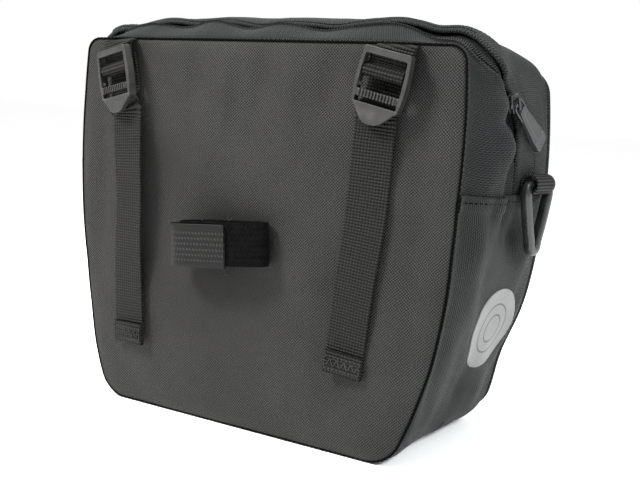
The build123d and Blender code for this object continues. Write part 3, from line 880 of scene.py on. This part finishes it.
def panel_piece(name, points, finish, facing_back):
    """A panel from its fan of rings, closed at its middle."""
    rows, columns = points.shape[:2]
    corners = grid_faces(rows, columns, True)
    faces = corners[..., 0] * columns + corners[..., 1] % columns
    order = slice(None, None, -1) if facing_back else slice(None)
    faces = [list(f[order]) for f in faces]
    middle = points[-1].mean(0)
    flat = np.vstack([points.reshape(-1, 3), middle])
    last = (rows - 1) * columns
    for c in range(columns):
        faces.append([last + c, len(flat) - 1, last + (c + 1) % columns][order])
    uv = [(flat[i][0] + WEAVE_START, flat[i][2]) for f in faces for i in f]
    return new_piece(name, flat, faces, finish, uv)


WEAVE_START = 300  # keeps the panels' flat layout on one side of zero
# The rings of the two panels: what is left of the way to the middle
PANEL_RINGS = (1.0, 0.998, 0.994, 0.985, 0.965, 0.94) + tuple(np.linspace(0.9, 0.04, 34))
# Soft dents in the back panel: where (x, z), reach in x and z, and depth
DENTS = (
    (-8, 112, 30, 22, 3.2), (94, 222, 24, 20, 2.6), (-94, 222, 24, 20, 2.6),
    (50, 150, 30, 60, -2.6), (-52, 60, 34, 40, -2.2), (30, 40, 40, 22, 2.8),
    (-64, 140, 12, 46, 2.8), (-30, 190, 14, 40, -2.2), (66, 90, 14, 60, 2.6),
    (104, 60, 16, 50, -1.4), (-40, 212, 7, 20, 2.6), (-16, 208, 6, 22, -1.8),
    (8, 212, 7, 18, 2.2), (30, 206, 8, 22, -1.8), (54, 212, 8, 18, 2.4),
    (-112, 150, 7, 60, 1.8), (114, 130, 8, 70, 2.4),
)


def back_shape(ring, points):
    """Depth of the back panel: a slight crown, soft dents where things are sewn on, and a rolled edge."""
    edge = {1.0: 2.6, 0.998: 1.7, 0.994: 1.0, 0.985: 0.45, 0.965: 0.0}.get(ring, -0.3 - 0.9 * (1 - ring**3))
    soft = np.zeros(len(points))
    for x, z, reach_x, reach_z, depth in DENTS:
        soft += depth * np.exp(-(((points[:, 0] - x) / reach_x) ** 2) - ((points[:, 2] - z) / reach_z) ** 2)
    for i, p in enumerate(points):
        here = Vector((p[0], 0, p[2]))
        soft[i] += 0.9 * noise.noise(here / 52) + 0.35 * noise.noise(here / 21)
        soft[i] += 0.8 * noise.noise(Vector(((p[0] + p[2]) / 26, (p[0] - p[2]) / 120, 4)))
    return edge + soft * float(ease((1 - ring) / 0.05))


def front_shape(ring, points):
    """Depth of the front panel: padded and domed, with a rolled edge."""
    lean = DEPTH_AT_BASE - FRONT_LEAN * points[:, 2]
    edge = {1.0: -2.2, 0.998: -1.0, 0.994: -0.2, 0.985: 0.4, 0.965: 1.3}.get(ring, 1.3 + 5.6 * (1 - ring**5))
    soft = np.array([1.0 * noise.noise(Vector(p) / 50) + 0.4 * noise.noise(Vector(p) / 21) for p in points])
    return lean + edge + soft * float(ease((1 - ring) / 0.06))


def panels():
    back = panel_piece("back_pad", fan(0, 116, back_shape), PANEL, True)
    cloth(back, 3.0, 0)
    settle(back, "bag", ("back_panel",))
    front = panel_piece("front_pad", fan(LAYERS, 118, front_shape), PANEL, False)
    cloth(front, 1.4, 0)
    across_fold(front, ("front_panel", "flap_front"))

    columns = np.arange(COLUMNS)
    path = skin(columns, 1.1 / DEPTH_AT_BASE, -0.45)
    path[:, 2] = np.maximum(path[:, 2], 1.1)
    # painted shadow: a near-black cord in the back seam stands in for the shade in the seam's valley
    seam_shade_cord = cord("back_seam_shadow_cord", path, 0.65, 8, (0, 1, 0), THREAD_AND_SEAM_SHADOW)
    settle(seam_shade_cord, "bag", ("back_binding",))
    piping = cord("front_piping", skin(columns, 1.0, -0.4), 1.3, 10, (0, 1, 0), GUSSET)
    across_fold(piping, ("front_binding", "flap_binding"))


# ---------------------------------------------------------------- zip


ZIP_END_Z, TOOTH_PITCH = 162, 1.5


def zip_parts():
    """Two tapes, each with a coil of teeth; the coils' teeth stand half a pitch apart."""
    order = np.flatnonzero(ZIP_HEIGHT > ZIP_END_Z)
    columns = np.arange(COLUMNS)
    reach = run_along(skin(order, ZIP_SHARE[order], -2.3))
    sunk = (-3.9, -3.8, -3.7, -3.7, -3.8, -3.9)
    for name, low, high, sign in (("rear", -11.0, -0.5, -1), ("front", 0.5, 11.0, 1)):
        offsets = np.linspace(low, high, len(sunk))
        rows = [skin(order, ZIP_SHARE[order] + d / DEPTHS[order], h) for d, h in zip(offsets, sunk)]
        tape = grid_piece(f"zip_tape_{name}", np.array(rows), TAPE)
        cloth(tape, 0.5, 0)
        teeth = []
        for run in np.arange(2, reach[-1] - 2, TOOTH_PITCH):
            column = np.interp(run + (0.5 * TOOTH_PITCH if sign > 0 else 0), reach, order)
            share, depth = (np.interp(column, columns, values) for values in (ZIP_SHARE, DEPTHS))
            start = skin(column, share - sign * 0.6 / depth, -3.1)
            end = skin(column, share + sign * 2.4 / depth, -3.1)
            teeth.append((start, end, skin(column, share, 1.0) - skin(column, share, 0.0)))
        coil = stitches(f"zip_coil_{name}", teeth, 0.55, COIL)
        if name == "rear":
            settle(tape, "bag", ("zip_tape_rear",))
            settle(coil, "bag")
        else:
            across_fold(tape, ("zip_tape_front",))
            across_fold(coil)


SLIDER_ORIGIN = np.array((145.805, 44.0, 208.0))
SLIDER_AXES = np.array(
    ((0.170898, 0.921481, 0.348807), (-0.048706, -0.345681, 0.937087), (0.984084, -0.177135, -0.014194))
)
PULL_ORIGIN = np.array((149.2, 43.389, 207.951))
PULL_BAR = np.array((0.11332, 0.564013, 0.817954))
PULL_AWAY = np.array((-0.159369, -0.802278, 0.575283))
PULL_AXES = np.array((PULL_BAR, PULL_AWAY, np.cross(PULL_BAR, PULL_AWAY)))


def in_axes(origin, axes):
    """Puts points given along a piece's first, third and second axes in place."""
    return lambda local: origin + local[:, [0, 2, 1]] @ axes


def zip_slider():
    """The plated slider: two plates, the post between them, the bridge for the link and the side walls."""
    plate = [(-4.0, 5.2), (-1.4, 5.6), (0, 4.6), (1.4, 5.6), (4.0, 5.2), (4.1, 1.0), (2.9, -5.2)]
    plate += [(-2.9, -5.2), (-4.1, 1.0)]
    solids = [
        slab(plate, 1.2, 2.4),
        slab(plate, -1.0, 0.0),
        box((-1.1, 1.1), (-1.0, 2.4), (1.6, 4.8)),
        box((-0.9, 0.9), (2.2, 5.2), (-3.6, -2.4)),
        box((-0.9, 0.9), (2.2, 5.2), (2.4, 3.6)),
        box((-0.9, 0.9), (4.3, 5.2), (-3.6, 3.6)),
        box((-4.1, -3.4), (0.6, 1.6), (-2.0, 5.0)),
        box((3.4, 4.1), (0.6, 1.6), (-2.0, 5.0)),
    ]
    slider = fused("zip_slider_body", solids, 0.22, 3, ZINC, in_axes(SLIDER_ORIGIN, SLIDER_AXES))
    settle(slider, "slider", ("zip_slider",))


def zip_pull():
    """The wire link and the moulded grip, which gets thinner towards the link."""
    half = [(-3.9, -11.6, 0), (-4.1, -6, 0), (-4.0, -1.6, 0), (-3.0, -0.2, 0)]
    wire = half + [(0, 0.1, 0)] + [(-x, y, 0) for x, y, _ in reversed(half)]
    path = smooth_path(PULL_ORIGIN + np.array(wire) @ PULL_AXES, 60)
    link = cord("pull_wire", path, 0.62, 10, PULL_AXES[2], ZINC, closed=False)
    settle(link, "pull", ("pull_link",))

    half = [(2.9, -5.5), (4.0, -13), (5.4, -27), (6.0, -35.5), (5.6, -38.0)]
    outline = [(-2.9, -5.5)] + half + [(-x, z) for x, z in half[:0:-1]]
    ridge = [(-1.0, -8), (1.0, -8), (3.2, -33), (-3.2, -33)]
    solids = [slab(outline, -1.6, 1.6), slab(ridge, -2.3, 2.3), box((-5.3, 5.3), (-2.1, 2.1), (-37.8, -31.5))]

    def taper(local):
        local[:, 1] *= 0.72 + 0.28 * ease((-local[:, 2] - 10) / 24)
        return local

    grip = fused("pull_grip", solids, 0.3, 3, GRIP, in_axes(PULL_ORIGIN, PULL_AXES), taper)
    settle(grip, "pull", ("zip_pull",))


def seam_lines():
    """Topstitching along the zip's band, and near-black thread in the seam round the back, which also paints
    the seam's shade.
    """
    columns = np.arange(COLUMNS)
    length = run_along(skin(columns, BAND_SHARE))

    def along(run, shift, out):
        column = np.interp(run, length, columns)
        share = np.interp(column, columns, BAND_SHARE)
        return skin(column, share + shift / np.interp(column, columns, DEPTHS), out)

    runs = []
    for run in np.arange(0, length[-1], 2.7):
        if np.interp(np.interp(run, length, columns), columns, ZIP_HEIGHT) > 150:
            out = along(run, -1.9, 2.0) - along(run, -1.9, 1.0)
            runs.append((along(run, -1.9, 0.6), along(run + 2.0, -1.9, 0.6), out))
    made = stitches("band_topstitch", runs, 0.26, THREAD)
    across_fold(made)

    length = run_along(skin(columns, 0.02))
    share = 1.5 / DEPTH_AT_BASE
    runs = []
    for run in np.arange(0, length[-1] - 2, 3.1):
        a, b = (np.interp(end, length, columns) for end in (run, run + 1.7))
        out = skin(a, share, 1.0) - skin(a, share, 0.0) - (0, 0.6, 0)
        runs.append((skin(a, share, -0.05), skin(b, share, -0.05), unit(out)))
    # painted shade: near-black stitches in the back seam, real stitches darkened as the seam's shadow would
    # darken them
    made = stitches("back_seam_stitches", runs, 0.3, THREAD_AND_SEAM_SHADOW)
    settle(made, "bag")


# ---------------------------------------------------------------- side pockets, patches and rings

POCKET_LOW, HEM_LOW, POCKET_HIGH = 14.0, 148.0, 157.5
POCKET_BACK, POCKET_SHARE = 1.7, 0.84
PATCH_Y, PATCH_Z, PATCH_RADIUS, PATCH_OUT = 69.0, 75.0, 25.0, 1.95
RING_CENTRE = np.array((156.418, 72.831, 163.0))
RING_AXES = np.array(((0.177153, 0.984183, 0.0), (0.0, 0.0, 1.0), (0.984183, -0.177153, 0.0)))


def pocket(hand, name):
    """The slip pocket, closed flat, with its doubled hem and the row of stitches in it."""
    rows = [(POCKET_LOW, 0.1), (POCKET_LOW + 0.6, 0.9), (POCKET_LOW + 2, 1.2)]
    rows += [(z, 1.25) for z in np.linspace(POCKET_LOW + 6, HEM_LOW - 3, 44)]
    rows += [(HEM_LOW + up, out) for up, out in ((-0.7, 1.25), (0, 1.5), (0.6, 2.0), (2, 2.2), (4.5, 2.2))]
    turned = (2.4, 2.25), (1.0, 2.3), (0.3, 2.0), (0, 1.2), (0.3, 0.4)
    rows += [(POCKET_HIGH - down, out) for down, out in turned]
    shares = np.concatenate([[0, 0.006, 0.02], np.linspace(0.05, 0.95, 36), [0.98, 0.994, 1.0]])
    lift = np.interp(shares, (0, 0.006, 0.02, 0.98, 0.994, 1.0), (-1.0, -0.4, 0, 0, -0.4, -1.1))
    points = []
    for z, out in rows:
        front = POCKET_SHARE * (DEPTH_AT_BASE - FRONT_LEAN * z)
        y = POCKET_BACK + (front - POCKET_BACK) * shares
        sag = 0.7 * np.sin(math.pi * shares) ** 2 * float(ease((z - 60) / 90))
        points.append(side(y, np.full(len(y), z - sag * 1.2), out + lift + sag * 0.6, hand))
    made = grid_piece(f"pocket_{name}", np.array(points), GUSSET, flip=hand == 1)
    cloth(made, 0.9)
    settle(made, "bag", (f"side_pocket_{name}", f"pocket_hem_{name}"))

    runs = []
    z, out = POCKET_HIGH - 4.6, 2.35
    for y in np.arange(POCKET_BACK + 3, POCKET_SHARE * (DEPTH_AT_BASE - FRONT_LEAN * z) - 4, 3.0):
        outwards = side(y, z, 3.0, hand) - side(y, z, 2.0, hand)
        runs.append((side(y, z, out, hand), side(y + 2.1, z, out, hand), outwards))
    made = stitches(f"pocket_stitches_{name}", runs, 0.32, THREAD_AND_SEAM_SHADOW)
    settle(made, "bag")


def patch(hand, name):
    """The round reflective patch, cut a little unevenly."""
    angles = np.linspace(0, 2 * math.pi, 96, endpoint=False)
    wobble = 1 + 0.004 * np.sin(3 * angles + 1) + 0.003 * np.sin(7 * angles)
    rings, flat = [], []
    for share in (1.0, 0.997, 0.985, 0.94, 0.85, 0.7, 0.55, 0.4, 0.25, 0.1):
        y = PATCH_RADIUS * share * wobble * np.cos(angles)
        z = PATCH_RADIUS * share * wobble * np.sin(angles)
        rings.append(side(PATCH_Y + y, PATCH_Z + z, {1.0: 1.2, 0.997: 1.75}.get(share, PATCH_OUT), hand))
        flat.append(np.stack([y, z], 1))
    count = len(angles)
    corners = grid_faces(len(rings), count, True)
    faces = (corners[..., 0] * count + corners[..., 1] % count)[:, ::-hand].tolist()
    centre = len(rings) * count
    for c in range(count):
        faces.append([centre - count + c, centre, centre - count + (c + 1) % count][::-hand])
    points = np.vstack([*rings, side(PATCH_Y, PATCH_Z, PATCH_OUT, hand)[None]])
    uv = np.vstack([*flat, [[0, 0]]])[[i for f in faces for i in f]]
    made = new_piece(f"reflective_disc_{name}", points, faces, FILM, uv)
    add_modifier(made, "SOLIDIFY", thickness=0.5 * MM, offset=-1.0)
    settle(made, "bag", (f"reflective_patch_{name}",))


def mirrored(points, hand):
    return np.asarray(points) * (hand, 1, 1)


def side_ring(hand, name):
    """The moulded ring, swept round its D."""
    half = [(11, 0), (13.4, -0.9), (14, -4), (11.4, -14), (7.8, -25), (4.6, -33), (3.4, -37.6)]
    outline = [(-11, 0), (0, 0)] + half + [(0, -39.2)] + [(-x, z) for x, z in reversed(half)]
    path = smooth_path([(x, z, 0.0) for x, z in outline], 97)[:-1]
    tangent = unit(np.roll(path, -1, 0) - np.roll(path, 1, 0))
    inwards = np.cross(tangent, (0, 0, -1))
    below_bar = ease((-path[:, 1] - 1) / 5)
    half_in, half_out, squareness = 2.1 + 0.9 * below_bar, 2.1 + 0.8 * below_bar, 3.6
    angles = np.linspace(0, 2 * math.pi, 20, endpoint=False)
    a, b = (np.sign(f) * np.abs(f) ** (2 / squareness) for f in (np.cos(angles), np.sin(angles)))
    points = path[:, None] + (half_in[:, None] * a)[..., None] * inwards[:, None]
    points += (half_out[:, None] * b)[..., None] * np.array((0, 0, 1.0))
    rows, columns = points.shape[:2]
    placed = mirrored(RING_CENTRE + points.reshape(-1, 3) @ RING_AXES, hand)
    corners = grid_faces(rows + 1, columns, True)[:, ::hand]
    faces = corners[..., 0] % rows * columns + corners[..., 1] % columns
    ring = new_piece(f"shoulder_ring_{name}", placed, faces, RING)
    add_modifier(ring, "SUBSURF", levels=1, render_levels=1)
    settle(ring, f"ring_{name}", (f"side_ring_{name}",))


def ring_tab(hand, name):
    """The tube of webbing the ring hangs in, and its bar tack."""
    roll = [(-9.0, -4.1), (-5.6, -4.6), (-4.2, -4.0)]
    radius = 5.3
    turn = np.linspace(-0.55, 2 * math.pi - 0.75, 40)
    roll += [(radius * math.sin(a), -radius * math.cos(a)) for a in turn]
    roll += [(-4.6, -5.3), (-9.2, -5.2)]
    path = smooth_path([(0.0, u, o) for u, o in roll], 130)
    placed = mirrored(RING_CENTRE + path @ RING_AXES, hand)
    tab = ribbon(f"ring_tube_{name}", placed, mirrored(RING_AXES[0], hand), 22.0, 1.35, TAB)
    settle(tab, "bag", (f"ring_tab_{name}",))
    runs = []
    for k in range(15):
        x = -9.0 + 1.28 * k
        low, high = ((-8.4, -6.0), (-8.0, -6.4))[k % 2]
        ends = RING_CENTRE + np.array([(x, low, -3.3), (x + 0.7, high, -3.3)]) @ RING_AXES
        runs.append((*mirrored(ends, hand), mirrored(RING_AXES[2], hand)))
    made = stitches(f"ring_bartack_{name}", runs, 0.32, THREAD)
    settle(made, "bag")


# ---------------------------------------------------------------- straps and buckles

SEAM_Z, STRAP_LEAN = 231.5, 12.0
# By hand: how far from the middle, how far below the seam, and turned about its length
SETS = {1: (94.0, 0.0, 0.0), -1: (99.0, 2.6, -12.0)}
TAIL_Z, TAIL_Y = 187.8, -5.5
# By hand: how far from the middle, how far it leans, its length, and how far it is lifted
TAILS = {1: (86.5, 4.6, 139.5, 0.0), -1: (88.0, 3.0, 147.0, 2.2)}
WEBBING, WEB_THICK = 25.0, 1.4
BUCKLE_FRONT, TURN_AT = -10.7, 4


def leaning(x, z, degrees, yaw=0.0):
    """Puts a strap's own points in place: turned about its own length, leant over, and moved."""
    a, turn = math.radians(degrees), math.radians(yaw)

    def place(local):
        across, through, up = np.moveaxis(np.asarray(local, float), -1, 0)
        px = across * math.cos(turn) - (through + TURN_AT) * math.sin(turn)
        py = across * math.sin(turn) + (through + TURN_AT) * math.cos(turn) - TURN_AT
        moved = x + px * math.cos(a) + up * math.sin(a), py, z - px * math.sin(a) + up * math.cos(a)
        return np.stack(moved, -1)

    return place


def both_sides(half):
    """An outline and its mirror image, without repeating a point on the middle line."""
    return half + [(-x, z) for x, z in reversed(half) if x]


def set_place(hand):
    """Puts a buckle set's own points in place."""
    aside, below, yaw = SETS[hand]
    return leaning(hand * aside, SEAM_Z - below, hand * STRAP_LEAN, yaw)


def buckle(hand, name):
    """A moulded ladder-lock: rails, top bar, hidden bar, toothed bar and thumb lip."""
    front, back = BUCKLE_FRONT, BUCKLE_FRONT + 3.2
    rail = [(12.0, -0.4), (13.3, -0.5), (14.3, -1.6), (15.0, -9), (15.5, -18), (15.2, -25), (14.0, -31.5)]
    rail += [(12.6, -33), (13.1, -24), (13.2, -14), (12.6, -5)]
    solids = [slab([(s * x, z) for x, z in rail][::s], front + 0.2, front + 5.6) for s in (1, -1)]
    top = [(-13.4, -4.3), (-13.8, -2.2), (-12.2, -0.5)]
    lip = [(-13.7, -30.4), (-12.0, -33.0), (-9.0, -36.4), (-6.2, -39.3), (-3.4, -40.8)]
    solids += [
        slab(both_sides(top), front + 0.2, back),
        box((-13.4, 13.4), (front + 0.5, back), (-27.4, -23.7)),
        slab(both_sides(lip + [(0, -41.1)]), front + 0.2, back),
        rod((-13.6, -6.5, -13), (13.6, -6.5, -13), 1.8),
        box((-12.9, -11.4), (front + 2.0, front + 3.6), (-22.0, -20.2)),
    ]
    for x in np.arange(12) * 1.95 - 10.73:
        solids.append(box((x - 0.5, x + 0.5), (front - 0.9, front + 1.2), (-27.6, -23.6)))

    def curl(local):
        lip = ease((-local[:, 2] - 31.5) / 9.5)
        local[:, 1] -= 1.1 * lip
        local[:, 1] += 0.35 * (local[:, 0] / 13) ** 2 * (local[:, 2] < -31)
        return local

    made = fused(f"ladder_buckle_{name}", solids, 0.3, 2, BUCKLE, set_place(hand), curl)
    settle(made, f"buckle_set_{name}", (f"buckle_{name}",))


def tucked(points):
    """Draws whatever reaches the top seam in behind it."""
    points[..., 1] += 2.4 * np.maximum(points[..., 2] - SEAM_Z - 1.6, 0)
    return points


def buckle_loop(hand, name):
    """The loop of webbing that holds the buckle."""
    place, below = set_place(hand), SETS[hand][1]
    bar_y, bar_z, radius = -6.5, -13, 3.15
    loop = [(1.6, 6.4 + below), (-0.6, 5.0 + below), (-2.4, 2.6), (-3.0, -3.0), (-3.35, -9.5)]
    turn = np.linspace(0, -1.45 * math.pi, 24)
    loop += [(bar_y + radius * math.cos(a), bar_z + radius * math.sin(a)) for a in turn]
    loop += [(-4.9, -8.0), (-5.0, -3.0), (-4.4, 1.6), (-2.2, 5.8 + below), (0.6, 8.0 + below)]
    path = place(smooth_path([(0.0, y, z) for y, z in loop], 110))
    across = place(np.array((1.0, 0, 0))) - place(np.array((0.0, 0, 0)))
    made = ribbon(f"loop_webbing_{name}", path, across, WEBBING, WEB_THICK, STRAP, tucked)
    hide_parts(f"seam_loop_{name}")
    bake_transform(made)


def load_strap(hand, name):
    """The strap through the buckle, with its free end and the stitches of its hem."""
    upper = [(-1.2, -4.5), (-1.3, -9), (-1.3, -20), (-1.5, -26.5), (-2.5, -29.4), (-4.3, -30.3)]
    upper = set_place(hand)([(0.0, y, z) for y, z in upper + [(-5.6, -31.8), (-5.9, -35.5)]])
    tail_x, lean, length, lifted = TAILS[hand]
    hang = leaning(hand * tail_x, TAIL_Z, hand * lean)
    lower = [(0, -5.6, 3.2), (0.1, -5.0, -8), (0.6, -3.9, -26), (0.9, -3.3, -52), (0.4, -3.7, -80)]
    lower += [(0, -3.1, -108)]
    hem = (-2.7, 14), (-2.7, 1.2), (-3.5, 0.2), (-4.3, 1.2), (-4.35, 7), (-4.3, 13.2)
    lower = np.array(lower + [(0, y, up - length) for y, up in hem])
    lower[:, 1] -= lifted * ease(-lower[:, 2] / 30)
    path = smooth_path(np.vstack([upper, hang(lower)]), 260)
    lean_top, lean_low = math.radians(hand * STRAP_LEAN), math.radians(hand * lean)
    angle = lean_low + (lean_top - lean_low) * ease((path[:, 2] - 183) / 16)
    turned = 0.05 * np.sin(path[:, 2] / 23 + hand) - 0.07 * lifted
    across = np.stack([np.cos(angle), turned, -np.sin(angle)], 1)
    made = ribbon(f"load_strap_{name}", path, across, WEBBING, WEB_THICK, STRAP, tucked)
    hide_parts(f"threaded_strap_{name}", f"strap_tail_{name}", f"strap_hem_{name}")
    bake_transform(made)
    runs = []
    front, twist = -5.0 - lifted, 0.07 * lifted

    def thread(*ends):
        placed = hang([(x, front - twist * x, z - length) for x, z in ends])
        runs.append((*placed, (0, -1, 0)))

    for z in (2.6, 9.8):
        for x in np.arange(-11.4, 10.5, 2.6):
            thread((x + 0.2, z), (x + 2.0, z))
    for x in (-11.0, 11.4):
        for z in np.arange(3.2, 9.0, 2.4):
            thread((x, z), (x, z + 1.8))
    for k in range(9):
        thread((-9.8 + 2.3 * k, (4.0, 8.4)[k % 2]), (-7.7 + 2.3 * k, (8.4, 4.0)[k % 2]))
    made = stitches(f"hem_stitches_{name}", runs, 0.36, THREAD)
    settle(made, f"tail_{name}")


# ---------------------------------------------------------------- hook-and-loop strap

BAND_LOW, BAND_HIGH, BAND_TILT = 98.5, 124.5, 0.085


def band_path(points, count, raised=0.0):
    """The band rises a little towards its right end."""
    middle = (BAND_LOW + BAND_HIGH) / 2 + raised
    return smooth_path([(x, y, middle + BAND_TILT * (x + 41)) for x, y in points], count)


def stem_strap():
    """The soft band bent into a closed loop, and the hook end that comes round and closes over it."""
    across, width = (-BAND_TILT, 0, 1), BAND_HIGH - BAND_LOW
    loop = [(-27, -1.0), (-12, -0.9), (4, -0.9), (13, -1.4), (19.6, -3.2), (22.6, -6.0), (22.8, -9.0)]
    loop += [(20.4, -11.8), (14.6, -14.4), (6, -16.5), (-4, -17.5), (-12, -17.6), (-24, -17.2)]
    loop += [(-31.5, -15.6), (-35.8, -12.2), (-36.6, -8.4), (-33.6, -5.0), (-27, -3.0)]
    made = ribbon("loop_band", band_path(loop, 150, 1.3), across, width, 1.5, LOOP)
    settle(made, "bag", ("loop_tape",))
    hook = [(-17, -2.2), (-27, -1.9), (-35.5, -3.2), (-40.6, -7.0), (-42.0, -11.6), (-40.2, -16.0)]
    hook += [(-36.4, -18.6), (-30, -19.4), (-15, -19.5), (-4, -19.4), (1.0, -19.3)]
    made = ribbon("hook_band", band_path(hook, 110), across, width, 1.2, HOOK)
    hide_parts("hook_root", "hook_tab")
    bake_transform(made)
    runs = []
    for x in (-10.2, -7.4):
        for z in np.arange(94.5, 129.0, 2.6):
            runs.append(((x, -0.9, z), (x + 0.2, -0.9, z + 1.8), (0, -1, 0)))
    for z in (95.0, 128.6):
        runs.append(((-10.2, -0.9, z), (-7.2, -0.9, z), (0, -1, 0)))
    made = stitches("anchor_stitches", runs, 0.34, THREAD)
    settle(made, "bag", ("loop_anchor",))


# ---------------------------------------------------------------- everything

add_camera()
add_surroundings()
body_shell()
panels()
zip_parts()
zip_slider()
zip_pull()
seam_lines()
for hand, name in ((1, "right"), (-1, "left")):
    pocket(hand, name)
    patch(hand, name)
    side_ring(hand, name)
    ring_tab(hand, name)
    buckle(hand, name)
    buckle_loop(hand, name)
    load_strap(hand, name)
stem_strap()
for node in ("back_board", "base_board"):
    for board_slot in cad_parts[node].material_slots:
        board_slot.material = BOARD
